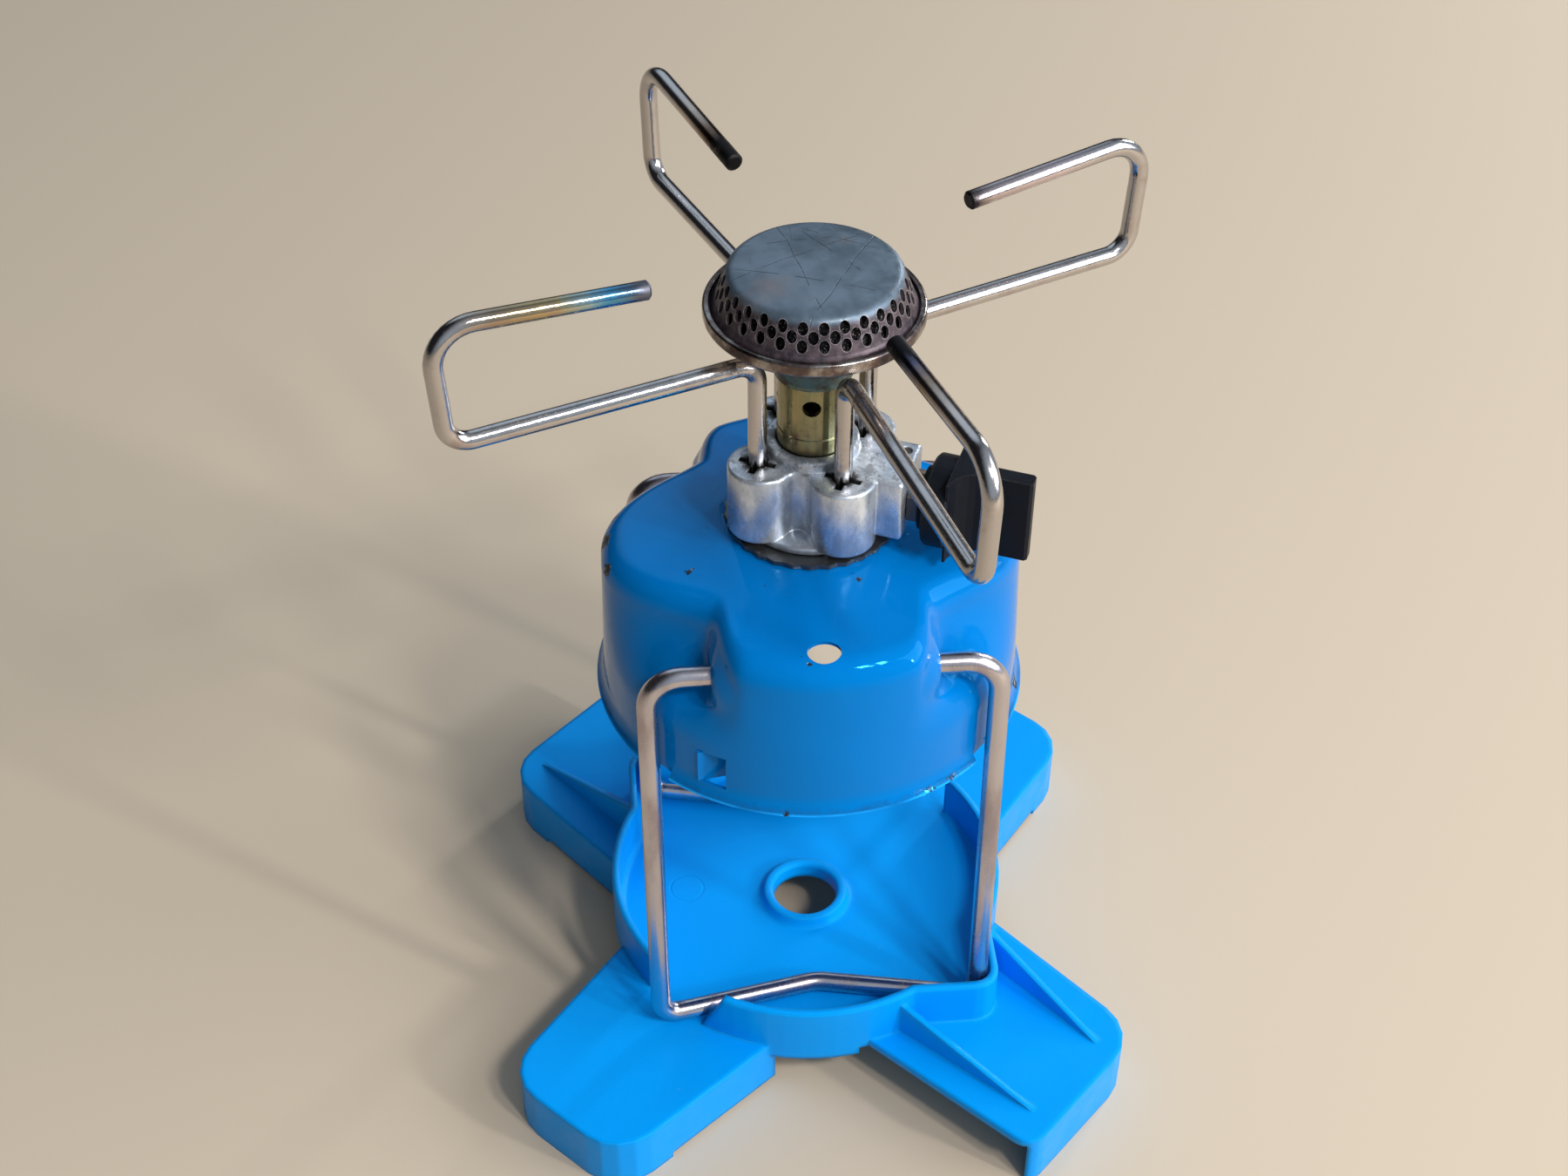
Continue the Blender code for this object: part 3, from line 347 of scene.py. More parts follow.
plastic = {
    "colour": (0.0005, 0.31, 0.83),
    "deeper": (0.0005, 0.275, 0.76),
    # paler blue on the edges, partly wear and partly a painted highlight
    "edgeWearAndHighlight": (0.02, 0.42, 0.95),
    "scuff": (0.12, 0.42, 0.8),
    "grime": (0.003, 0.07, 0.2),
    "gloss": (0.05, 0.5, 1.0),
    "ejector": (-0.0298, 0.0045, 0.015),  # the round mark on the cup's floor
    "ejectorRadius": 0.0042,
    "rounding": 0.00075,  # of the moulding's edges
    "shownRounding": 0.0018,  # of its shading
}


def bluePlastic():
    made = Finish("mouldedPlastic", specular=0.28, gloss=plastic["gloss"])
    colour = made.mix(made.noise(0.025, 3), plastic["deeper"], plastic["colour"])
    # Paler edges: partly wear and partly a painted highlight along the rounded edges
    edgeWearAndHighlight = made.product(made.edges(0.0006), made.patches((0.35, 0.6, 0.25, 0.8), 0.01, 4, shift=2))
    colour = made.mix(edgeWearAndHighlight, colour, plastic["edgeWearAndHighlight"])
    scratches = made.patches((0.74, 0.8), 0.0005, 2, place=made.stretched((1, 0.04, 1), 30))
    others = made.patches((0.74, 0.8), 0.0005, 2, place=made.stretched((0.04, 1, 1), 12), shift=6)
    marks = made.product(made.either(scratches, others), made.patches((0.5, 0.65), 0.02, 2, shift=4))
    nicks = made.patches((0.7, 0.74), 0.0012, 3, shift=8)
    nicks = made.product(nicks, made.patches((0.55, 0.62), 0.016, 2, shift=9))
    colour = made.mix(made.product(made.either(marks, nicks), 0.4), colour, plastic["scuff"])
    specks = made.patches((0.76, 0.79), 0.0011, 2, shift=12)
    specks = made.product(specks, made.patches((0.45, 0.6), 0.02, 2, shift=13))
    made.setColour(made.product(specks, 0.8), colour, plastic["grime"])
    made.setRoughness(made.noise(0.006, 5), 0.3, 0.46)
    away = made.distance(plastic["ejector"])
    offRing = made.math("ABSOLUTE", made.math("SUBTRACT", away, plastic["ejectorRadius"]))
    mark = made.step(offRing, 0.0004, 0.0)
    grain = made.bump(made.noise(0.0007, 3), 0.00003, before=made.rounded(plastic["shownRounding"]))
    waves = made.bump(made.noise(0.012, 2), 0.00015, before=grain)
    damage = made.either(marks, nicks, mark)
    made.setBump(made.math("SUBTRACT", 1.0, damage), 0.00008, before=waves)
    return made.material


casting = {
    "colour": (0.72, 0.76, 0.82),
    "dull": (0.38, 0.42, 0.48),
    "edge": (0.88, 0.9, 0.93),
    # also the painted shade inside the sockets
    "soot": (0.03, 0.028, 0.027),
    "metallic": 0.75,
    "topHeight": 0.1595,
    "bottom": 0.1426,
    "rounding": 0.0008,
    "bossRadius": 0.0072,
    "bossOffset": 0.0127,
    "bossTurn": 2,
    "web": 0.0026,
    "socketOffset": 0.0133,
    "socketAngles": (23.5, 113.5, 203.5, 293.5),
    "socketRadius": 0.0023,
    "socketDepth": 0.012,
    "slot": (0.0041, 0.0009, 0.003),  # half its length, half its width, depth
    "slotTurns": (40, 133),
    "blockReach": 0.0224,
    "blockHalf": 0.0078,
    "blockBottom": 0.1445,
    "blockRounding": 0.0009,
    "spindleAngle": -23.3,
    "spindleHeight": 0.1517,
    "spindleBore": (0.0244, 0.0049, 0.0162),  # how far out its middle is, radius, length
    "pinHole": (0.0197, 0.0045, 0.0013),
    # turned forms that are joined on or cut out: each point's radius, height and perhaps rounding
    "spigot": (
        (0, 0.162),
        (0.0101, 0.162, 0.0005),
        (0.0101, 0.1585),
        (0.006, 0.157),
        (0.006, 0.1445),
        (0.0125, 0.1437, 0.001),
        (0.0158, 0.1431, 0.0004),
        (0.0158, 0.1416, 0.0003),
        (0.0108, 0.1416),
        (0.0108, 0.124, 0.0007),
        (0, 0.124),
    ),
    "well": ((0, 0.164), (0.008, 0.164), (0.008, 0.1595), (0.0035, 0.1595), (0.0035, 0.1565), (0, 0.1565)),
    "seat": ((0, 0.134), (0.0027, 0.134), (0.0027, 0.1252), (0.0085, 0.1252), (0.0085, 0.122), (0, 0.122)),
}


# The middles of the sockets in which the supports stand
def socketSpots():
    offset = casting["socketOffset"]
    return [(offset * cos(radians(angle)), offset * sin(radians(angle))) for angle in casting["socketAngles"]]


def castAluminium():
    made = Finish("castAluminium")
    flow = made.noise(0.007, 5, 0.68, place=made.stretched((1, 1, 0.45)))
    blotch = made.noise(0.0035, 5, 0.7)
    colour = made.mix(made.step(flow, 0.36, 0.64), casting["dull"], casting["colour"])
    edge = made.product(made.edges(0.0005), made.patches((0.3, 0.55, 0.4, 1.0), 0.004, 4))
    colour = made.mix(edge, colour, casting["edge"])
    height, topHeight = made.part("Z"), casting["topHeight"]
    top = made.step(height, topHeight - 0.0012, topHeight - 0.0002)
    away = [made.axisDistance(*spot) for spot in socketSpots()]
    near = made.either(*[made.step(distance, 0.0046, 0.0026) for distance in away])
    grime = made.product(top, made.step(blotch, 0.5, 0.58), 0.55)
    collars = made.product(top, near, made.patches((0.36, 0.52), 0.0014, 4, 0.7, shift=2))
    low = made.step(height, topHeight - 0.011, topHeight - 0.0175)
    streaks = made.patches((0.58, 0.7), 0.0022, 6, 0.75, shift=3)
    sideGrime = made.product(streaks, made.scaled(low, 0.5, 0.3))
    # Inside the sockets and their slots: partly soot and partly painted shade in the recess
    sootAndShadeInSockets = made.either(*[made.step(distance, 0.0048, 0.0046) for distance in away])
    sootAndShadeInSockets = made.product(sootAndShadeInSockets, made.step(height, topHeight - 0.0002, topHeight - 0.0005))
    sootAndShade = made.either(grime, collars, sideGrime, sootAndShadeInSockets)
    made.setColour(sootAndShade, colour, casting["soot"])
    made.set("roughness", made.scaled(sootAndShade, 0.3, made.step(blotch, 0.3, 0.7, 0.24, 0.4)))
    made.set("metallic", made.scaled(sootAndShade, -0.5, casting["metallic"]))
    fine = made.bump(made.noise(0.0008, 4, 0.7), 0.00003, before=made.rounded(casting["rounding"]))
    made.setBump(flow, 0.0001, before=fine)
    return made.material


cap = {
    "sides": 168,
    "topHeight": 0.20435,
    "dome": 0.0004,
    "radius": 0.0178,
    "shoulder": 0.0024,
    "sheet": 0.0006,
    "neck": (0.0206, 0.1968),
    "wall": (0.0213, 0.1957),
    "foot": (0.022, 0.19445),
    "holes": 28,
    "rows": (0.16, 0.43, 0.7),
    "holeWidth": 0.0022,
    "holeLength": 0.0028,
    "top": (0.145, 0.195, 0.25),
    "topDark": (0.075, 0.105, 0.135),
    "warm": (0.2, 0.17, 0.17),
    "cone": (0.12, 0.084, 0.096),
    "coneDark": (0.042, 0.033, 0.04),
    # paler on the edges, a painted highlight round the holes and rims
    "edgeHighlight": (0.42, 0.38, 0.4),
    "scratch": (0.03, 0.03, 0.034),
    # each scratch across the top: its angle in degrees and its distance from the middle
    "scratches": (
        (34, 0.0062),
        (118, 0.0055),
        (71, -0.0048),
        (152, -0.0064),
        (12, -0.0031),
        (97, 0.0102),
        (60, 0.0118),
    ),
    "scratchWidth": 0.00009,
    "soot": (0.02, 0.018, 0.018),
}


def capSteel():
    made = Finish("heatTintedCap", metallic=0.45)
    fine = made.noise(0.002, 5, 0.7)
    top = made.mix(made.patches((0.3, 0.7), 0.008, 5, 0.6), cap["topDark"], cap["top"])
    warm = made.patches((0.52, 0.68), 0.014, 4, 0.6, shift=4)
    top = made.mix(made.product(warm, 0.6), top, cap["warm"])
    cone = made.mix(made.step(fine, 0.35, 0.65), cap["coneDark"], cap["cone"])
    sooty = made.patches((0.56, 0.7), 0.006, 4, 0.65, shift=8)
    cone = made.mix(made.product(sooty, 0.6), cone, cap["soot"])
    onTop = made.step(made.part("Z"), cap["topHeight"] - 0.0024, cap["topHeight"] - 0.0008)
    colour = made.mix(onTop, cone, top)
    # Paler edges round the holes and rims: a painted highlight
    rims = made.product(made.edges(0.0003), made.step(fine, 0.4, 0.55, 0.2, 1.0))
    colour = made.mix(rims, colour, cap["edgeHighlight"])
    width, marks = cap["scratchWidth"], []
    for number, (angle, away) in enumerate(cap["scratches"]):
        angle = radians(angle)
        across = made.scaled(made.part("X"), cos(angle), made.product(made.part("Y"), sin(angle)))
        bent = made.scaled(made.noise(0.012, 1, shift=number), 0.0016, across)
        off = made.math("ABSOLUTE", made.math("SUBTRACT", bent, away + 0.0008))
        broken = made.patches((0.44, 0.54), 0.005, 2, shift=number * 2 + 1)
        marks.append(made.product(made.step(off, width * 1.6, width * 0.6), broken))
    hairs = made.patches((0.66, 0.74), 0.0007, 2, place=made.stretched((1, 0.03, 1), 40))
    hairs = made.product(hairs, made.patches((0.44, 0.56), 0.008, 2, shift=7), 0.6)
    lines = made.product(made.either(hairs, *marks), onTop)
    made.setColour(made.product(lines, 0.65), colour, cap["scratch"])
    made.setRoughness(fine, 0.32, 0.48)
    rough = made.bump(fine, 0.00006)
    made.setBump(made.math("SUBTRACT", 1.0, lines), 0.00005, before=rough)
    return made.material


smallSteps = 4  # faces round the corner of a pressing or casting


# A form turned from a closed line of radii and heights, with a rounding where a point has one
def turnedForm(line, sides):
    points = []
    for i, (radius, height, *rounding) in enumerate(line):
        corner = Vector((radius, 0, height))
        if not rounding:
            points.append(corner)
            continue
        before, after = [Vector((line[j][0], 0, line[j][1])) for j in (i - 1, (i + 1) % len(line))]
        points += roundCorner(before, corner, after, rounding[0], smallSteps)
    form = bmesh.new()
    columns = []
    for k in range(sides):
        turn = 2 * pi * k / sides
        columns.append([form.verts.new((p.x * cos(turn), p.x * sin(turn), p.z)) for p in points])
    for k, column in enumerate(columns):
        following = columns[(k + 1) % sides]
        for j in range(len(points)):
            after = (j + 1) % len(points)
            form.faces.new((column[j], column[after], following[after], following[j]))
    bmesh.ops.remove_doubles(form, verts=form.verts, dist=1e-7)
    return form


def addCap(material):
    top, sheet, shoulder = cap["topHeight"], cap["sheet"], cap["shoulder"]
    (neck, neckHeight), (wall, wallHeight), (foot, footHeight) = cap["neck"], cap["wall"], cap["foot"]
    line = [
        (0, top + cap["dome"]),
        (cap["radius"] * 0.5, top + cap["dome"] * 0.7, 0.02),
        (cap["radius"] + 0.0001, top - 0.0002, shoulder),
        (neck, neckHeight, 0.001),
        (wall, wallHeight),
        (wall, footHeight + sheet, 0.0001),
        (foot, footHeight + sheet),
        (foot, footHeight),
        (wall - sheet, footHeight),
        (wall - sheet, wallHeight),
        (neck - sheet, neckHeight - 0.0002, 0.001),
        (cap["radius"] - sheet, top - sheet - 0.0002, shoulder - sheet),
        (0, top - sheet),
    ]
    shell = addForm(turnedForm(line, cap["sides"]), "burner_cap_pressing", material)
    holes = bmesh.new()
    high, low = Vector((cap["radius"], 0, top - shoulder * 0.6)), Vector((neck, 0, neckHeight))
    lean = degrees(atan2(low.x - high.x, high.z - low.z))
    for row, share in enumerate(cap["rows"]):
        spot = Matrix.Translation(high.lerp(low, share))
        for k in range(cap["holes"]):
            place = turned(360 * (k + row % 2 / 2) / cap["holes"]) @ spot @ turned(90 - lean, "Y")
            addBar(holes, 16, cap["holeLength"] / 2, cap["holeWidth"] / 2, sheet * 5, place)
    carve(shell, ("DIFFERENCE", holes))
    smooth(shell.data, 40)
    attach(shell, "burner")
    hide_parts("burner_cap")


pan = {
    "sides": 144,
    "rim": 0.023,
    "lipTop": 0.1964,
    "lipEdge": 0.0216,
    "rimFoot": 0.19345,
    "edge": (0.0204, 0.19275),
    "shelf": (0.0094, 0.1869),
    "neck": 0.0071,
    "sheet": 0.0007,
    "dark": (0.055, 0.045, 0.048),
    "brown": (0.15, 0.11, 0.1),
    # bare metal, also used for the painted reflection below the rim
    "bare": (0.5, 0.46, 0.42),
}


def panSteel():
    made = Finish("heatedPan", metallic=1.0)
    patches = made.noise(0.009, 4, 0.65)
    # Below the rim's foot the tint is pushed towards bare metal: a painted silvery reflection
    low = made.step(made.part("Z"), pan["rimFoot"] + 0.001, pan["rimFoot"] - 0.0015, 0.0, 0.22)
    tarnishAndReflection = made.math("ADD", patches, low)
    made.set("colour", made.ramp(tarnishAndReflection, [(0.36, pan["dark"]), (0.5, pan["brown"]), (0.68, pan["bare"])]))
    made.setRoughness(made.noise(0.002, 4), 0.2, 0.38)
    made.setBump(made.noise(0.0012, 3), 0.00004)
    return made.material


def addPan(material):
    rim, sheet, foot = pan["rim"], pan["sheet"], pan["rimFoot"]
    (edge, edgeHeight), (shelf, shelfHeight) = pan["edge"], pan["shelf"]
    line = [
        (pan["lipEdge"], pan["lipTop"], 0.0002),
        (rim, pan["lipTop"], 0.0007),
        (rim, foot, 0.0009),
        (edge, edgeHeight, 0.002),
        (shelf, shelfHeight, 0.001),
        (pan["neck"], shelfHeight),
        (pan["neck"], shelfHeight + sheet),
        (shelf - sheet / 2, shelfHeight + sheet, 0.001),
        (edge - sheet / 2, edgeHeight + sheet, 0.002),
        (rim - sheet, foot + sheet, 0.0002),
        (rim - sheet, pan["lipTop"] - sheet, 0.0001),
        (pan["lipEdge"], pan["lipTop"] - sheet),
    ]
    shell = addForm(turnedForm(line, pan["sides"]), "burner_pan_pressing", material)
    smooth(shell.data, 40)
    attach(shell, "burner")
    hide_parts("burner_pan")


collar = {"green": (0.12, 0.19, 0.165), "brown": (0.1, 0.07, 0.045)}


def collarSteel():
    made = Finish("greenedCollar", metallic=0.7)
    patches = made.noise(0.004, 5, 0.7)
    made.setColour(made.step(patches, 0.42, 0.62), collar["green"], collar["brown"])
    made.setRoughness(patches, 0.36, 0.6)
    made.setBump(made.noise(0.0007, 4, 0.7), 0.00008)
    return made.material


tube = {"yellow": (0.34, 0.29, 0.15), "green": (0.25, 0.25, 0.14), "brown": (0.19, 0.125, 0.09)}


def tubeSteel():
    made = Finish("passivatedTube", metallic=1.0)
    streaks = made.noise(0.0016, 3, 0.6, place=made.stretched((1, 1, 0.08)))
    patches = made.noise(0.006, 4, 0.6, shift=2)
    colour = made.mix(made.step(streaks, 0.35, 0.65), tube["yellow"], tube["green"])
    made.setColour(made.step(patches, 0.5, 0.66), colour, tube["brown"])
    made.setRoughness(patches, 0.22, 0.42)
    made.setBump(streaks, 0.00003)
    return made.material


# the mesh's pitch, the painted shade in its gaps, and the wire's colour
gauze = {"mesh": 0.00045, "hollow": (0.008, 0.007, 0.007), "wire": (0.2, 0.17, 0.16)}


def wireGauze():
    made = Finish("wovenGauze", metallic=0.9, roughness=0.35)
    dots = made.noise(gauze["mesh"], 1)
    sooty = made.patches((0.4, 0.62), 0.004, 4, 0.6, shift=3)
    # The gaps between the wires are painted near black as shade; the wire's colour shows in spots where it is
    # not sooty
    glint = made.product(made.step(dots, 0.56, 0.66), sooty)
    made.setColour(glint, gauze["hollow"], gauze["wire"])
    made.setBump(dots, 0.0002)
    return made.material


darkSteels = {
    # colour, and the colour of the patches on it
    "oiledSteel": ((0.11, 0.1, 0.095), (0.16, 0.07, 0.03)),
    "ringSteel": ((0.13, 0.13, 0.13), (0.6, 0.6, 0.6)),
}


def darkSteel(name):
    made = Finish(name, metallic=0.9)
    patches = made.noise(0.003, 5, 0.7)
    made.setColour(made.step(patches, 0.55, 0.7), *darkSteels[name])
    made.setRoughness(patches, 0.3, 0.55)
    made.setBump(made.noise(0.0006, 4), 0.00005)
    return made.material


knob = {
    "colour": (0.0025, 0.0028, 0.0035),
    "paler": (0.008, 0.011, 0.018),
    # grey on the edges, partly wear and partly a painted highlight
    "edgeWearAndHighlight": (0.05, 0.05, 0.052),
    "rounding": 0.0004,
}


def blackPlastic():
    made = Finish("blackKnobPlastic", specular=0.12)
    colour = made.mix(made.noise(0.006, 4), knob["colour"], knob["paler"])
    # Grey edges: partly wear and partly a painted highlight along the knob's edges
    edgeWearAndHighlight = made.scaled(made.patches((0.5, 0.62), 0.0016, 4, 0.7), 0.5, 0.25)
    edgeWearAndHighlight = made.product(made.edges(0.0005), edgeWearAndHighlight)
    dust = made.product(made.patches((0.72, 0.77), 0.0009, 3, shift=2), 0.5)
    made.setColour(made.either(edgeWearAndHighlight, dust), colour, knob["edgeWearAndHighlight"])
    made.setRoughness(made.noise(0.003, 5), 0.36, 0.52)
    made.setBump(made.noise(0.0006, 3), 0.00004)
    return made.material


brass = {"dull": (0.45, 0.31, 0.11), "bright": (0.66, 0.48, 0.2)}


def turnedBrass():
    made = Finish("turnedBrass", metallic=1.0, roughness=0.3)
    made.setColour(made.noise(0.003, 4), brass["dull"], brass["bright"])
    made.setBump(made.noise(0.0003, 2, place=made.stretched((0.1, 0.1, 1))), 0.00003)
    return made.material


rubber = {"colour": (0.012, 0.012, 0.012), "paler": (0.03, 0.03, 0.03)}


def blackRubber():
    made = Finish("blackRubber", roughness=0.65)
    made.setColour(made.noise(0.002, 4), rubber["colour"], rubber["paler"])
    made.setBump(made.noise(0.0005, 3), 0.00005)
    return made.material


# Puts one material on these solids and smooths their round faces
def dress(names, material):
    for name in names:
        mesh = nodes[name].data
        mesh.materials.clear()
        mesh.materials.append(material)
        smooth(mesh, 35)


# Rounds the sharp edges of a solid from the frame, as a mould or wear would
def soften(name, width):
    piece = nodes[name]
    modify(piece, "DECIMATE", decimate_type="DISSOLVE", angle_limit=radians(0.6))
    settings = {"limit_method": "ANGLE", "angle_limit": radians(35), "miter_outer": "MITER_ARC"}
    modify(piece, "BEVEL", width=width, segments=3, use_clamp_overlap=False, **settings)
    modify(piece, "WEIGHTED_NORMAL", keep_sharp=False)


# The points of an arc that rounds a corner
def roundCorner(before, corner, after, radius, steps):
    back, ahead = (before - corner).normalized(), (after - corner).normalized()
    half = back.angle(ahead) / 2
    centre = corner + (back + ahead).normalized() * radius / sin(half)
    start = (corner + back * radius / tan(half) - centre).normalized()
    end = (corner + ahead * radius / tan(half) - centre).normalized()
    return [centre + start.slerp(end, k / steps) * radius for k in range(steps + 1)]


bendSteps = 10  # faces round each bend of a wire


def bentPath(corners, bends):
    points = [Vector(corner) for corner in corners]
    path = [points[0]]
    for i, bend in enumerate(bends, 1):
        path += roundCorner(points[i - 1], points[i], points[i + 1], bend, bendSteps)
    return path + [points[-1]]


housing = {
    "bore": 0.0144,
    "ringRadius": 0.0191,
    "topHeight": 0.14,
    "topSlope": 0.168,
    "radius": 0.0472,
    "draft": 0.0007,  # how much narrower the wall is below the shoulder
    "shoulder": 0.0065,
    "fadeHeight": 0.1095,
    "rimHeight": 0.0956,
    "flareWidth": 0.0013,
    "flareHeight": 0.0045,
    "lip": 0.0004,
    "sheet": 0.0008,
    "depth": 0.0102,
    "start": 22.5,  # degrees from the front or rear lobe's middle to where the dimple starts
    "deep": 43.5,
    "end": 86,
    "rows": {"top": 14, "shoulder": 12, "wall": 30, "flare": 8},
    "sightHole": (-0.001, -0.0405, 0.0072, 0.0055),  # place, width and length
    "pivot": (0.0245, 0.033, 0.1245),
    "bossFlat": 0.0034,
    "bossFoot": 0.0092,
    "pivotHole": 0.00265,
    "notch": 0.0071,
    "notchAngle": 41.4,
    "louvreSize": (0.0062, 0.009),
    "louvreBottom": 0.0985,
    "louvreTab": 0.0066,
    "louvreSwing": 40,
    "louvreAngles": (238.5, 58.5),
}


def ease(share):
    share = min(max(share, 0.0), 1.0)
    return share * share * (3 - 2 * share)


def pressedShare(angle):
    if angle < housing["deep"]:
        return ease((angle - housing["start"]) / (housing["deep"] - housing["start"]))
    return 1 - ease((angle - housing["deep"]) / (housing["end"] - housing["deep"]))


# The outside of the pressing from its bore to its rim, at this angle from the nearer long lobe's middle
def pressedProfile(angle):
    rows, depth, bend = housing["rows"], housing["depth"] * pressedShare(angle), housing["shoulder"]
    top, slope, ring = housing["topHeight"], housing["topSlope"], housing["ringRadius"]
    waist = housing["radius"] - housing["draft"]
    inner = waist - depth - bend
    profile = [(housing["bore"], top)]
    for k in range(rows["top"]):
        radius = ring + (inner - ring) * k / rows["top"]
        profile.append((radius, top - slope * (radius - ring)))
    level = top - slope * (inner - ring) - bend
    start = atan(slope)
    for k in range(rows["shoulder"] + 1):
        lean = start + (pi / 2 - start) * k / rows["shoulder"]
        profile.append((inner + bend * sin(lean), level + bend * cos(lean)))
    flareTop = housing["rimHeight"] + housing["flareHeight"]
    for k in range(1, rows["wall"] + 1):
        height = level + (flareTop - level) * k / rows["wall"]
        faded = ease((height - level) / (housing["fadeHeight"] - level))
        widened = housing["draft"] * k / rows["wall"]
        profile.append((waist + widened - depth * (1 - faded), height))
    for k in range(1, rows["flare"] + 1):
        share = k / rows["flare"]
        out = housing["flareWidth"] * share**2 + housing["lip"] * share**6
        profile.append((housing["radius"] + out, flareTop - housing["flareHeight"] * share))
    return profile


# The wall stands out in a flat round boss about each pivot of the wires
def withBoss(point):
    px, py, pz = housing["pivot"]
    away = ((abs(point.y) - py) ** 2 + (point.z - pz) ** 2) ** 0.5
    raised = 1 - ease((away - housing["bossFlat"]) / (housing["bossFoot"] - housing["bossFlat"]))
    if raised and abs(point.x) > px / 2:
        side = 1 if point.x > 0 else -1
        point.x += (side * px - point.x) * raised
    return point


def pressedShell():
    # degrees round one quarter, closer together where the dimple starts
    stops = [2 * k for k in range(12)] + [24 + 0.8 * k for k in range(25)] + [44 + 2 * k for k in range(23)]
    mirrored = [0] + [90 - stop for stop in stops[:0:-1]]
    form = bmesh.new()
    columns = []
    for quarter in range(4):
        for stop in (stops, mirrored)[quarter % 2]:
            direction = radians(-90 + 90 * quarter + stop)
            profile = pressedProfile(90 - stop if quarter % 2 else stop)
            points = [withBoss(Vector((r * cos(direction), r * sin(direction), z))) for r, z in profile]
            columns.append([form.verts.new(point) for point in points])
    for column, following in zip(columns, columns[1:] + columns[:1]):
        for j in range(len(column) - 1):
            form.faces.new((column[j], column[j + 1], following[j + 1], following[j]))
    return form


# A bar with any number of sides, added to a cutter's mesh
def addBar(form, sides, radiusX, radiusY, length, place, start=0.0):
    rings = []
    for end in (-length / 2, length / 2):
        angles = [start + 2 * pi * k / sides for k in range(sides)]
        spots = [Vector((radiusX * cos(a), radiusY * sin(a), end)) for a in angles]
        rings.append([form.verts.new(place @ spot) for spot in spots])
    form.faces.new(rings[0][::-1])
    form.faces.new(rings[1])
    for k in range(sides):
        following = (k + 1) % sides
        form.faces.new((rings[0][k], rings[0][following], rings[1][following], rings[1][k]))


def addBrick(form, low, high, place):
    spot = place @ Matrix.Translation([(a + b) / 2 for a, b in zip(low, high)])
    width, depth, height = [b - a for a, b in zip(low, high)]
    corner = 2**0.5 / 2
    addBar(form, 4, width * corner, depth * corner, height, spot, start=pi / 4)


# Joins forms to a piece or cuts them out of it, in this order, and bakes its mesh
def carve(piece, *steps):
    tools = []
    for i, (operation, form) in enumerate(steps):
        tool = addForm(form, f"{piece.name}_tool_{i}")
        modify(piece, "BOOLEAN", operation=operation, object=tool)
        tools.append(tool)
    bpy.context.view_layer.update()
    shape = bpy.data.meshes.new_from_object(piece.evaluated_get(bpy.context.evaluated_depsgraph_get()))
    piece.modifiers.clear()
    piece.data = shape
    for tool in tools:
        bpy.data.objects.remove(tool, do_unlink=True)


def addHousing(material):
    piece = addForm(pressedShell(), "cartridge_housing_pressing", material)
    modify(piece, "SOLIDIFY", thickness=housing["sheet"], offset=-1, use_even_offset=True)
    holes, tabs = bmesh.new(), bmesh.new()
    # the cutters are long enough to go right through the sheet
    x, y, width, length = housing["sightHole"]
    addBar(holes, 40, width / 2, length / 2, 0.012, Matrix.Translation((x, y, housing["topHeight"] - 0.004)))
    px, py, pz = housing["pivot"]
    bore, notch, slant = housing["pivotHole"], housing["notch"], radians(housing["notchAngle"])
    low = (housing["radius"], -notch / 2, housing["rimHeight"] - 0.001)
    high = (housing["radius"] + 0.003, notch / 2, housing["rimHeight"] + housing["flareHeight"])
    for xSide, ySide in ((-1, -1), (-1, 1), (1, -1), (1, 1)):
        across = Matrix.Translation((xSide * px, ySide * py, pz)) @ turned(90, "Y")
        addBar(holes, 32, bore, bore, 0.011, across)
        addBrick(holes, low, high, turned(degrees(atan2(ySide * sin(slant), xSide * cos(slant)))))
    width, tall = housing["louvreSize"]
    bottom, thick = housing["louvreBottom"], housing["sheet"]
    middle = -housing["radius"] + thick / 2
    swing = Matrix.Translation((-width / 2, middle, 0)) @ turned(housing["louvreSwing"])
    for angle in housing["louvreAngles"]:
        spot = turned(angle + 90)
        low, high = (-width / 2, middle - 0.002, bottom), (width / 2, middle + 0.002, bottom + tall)
        addBrick(holes, low, high, spot)
        low = (-thick, -thick / 2, bottom + 0.0003)
        high = (housing["louvreTab"], thick / 2, bottom + tall - 0.0003)
        addBrick(tabs, low, high, spot @ swing)
    carve(piece, ("DIFFERENCE", holes), ("UNION", tabs))
    smooth(piece.data, 38)
    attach(piece, "housing")
    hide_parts("cartridge_housing")


# A plate with rounded rims on any smooth outline that runs anticlockwise
def addPlate(form, outline, low, high, rounding):
    points = [Vector((x, y, 0)) for x, y in outline]
    count = len(points)
    outward = []
    for i in range(count):
        along = points[(i + 1) % count] - points[i - 1]
        outward.append(Vector((along.y, -along.x, 0)).normalized())
    leans = [pi / 2 * k / smallSteps for k in range(smallSteps + 1)]
    rims = [(rounding * (1 - sin(lean)), rounding * (1 - cos(lean))) for lean in leans]
    levels = [(inset, low + rise) for inset, rise in rims]
    levels += [(inset, high - rise) for inset, rise in rims[::-1]]
    rings = []
    for inset, height in levels:
        lift = Vector((0, 0, height))
        rings.append([form.verts.new(point - out * inset + lift) for point, out in zip(points, outward)])
    for lower, upper in zip(rings, rings[1:]):
        for i in range(count):
            after = (i + 1) % count
            form.faces.new((lower[i], lower[after], upper[after], upper[i]))
    form.faces.new(rings[0][::-1])
    form.faces.new(rings[-1])


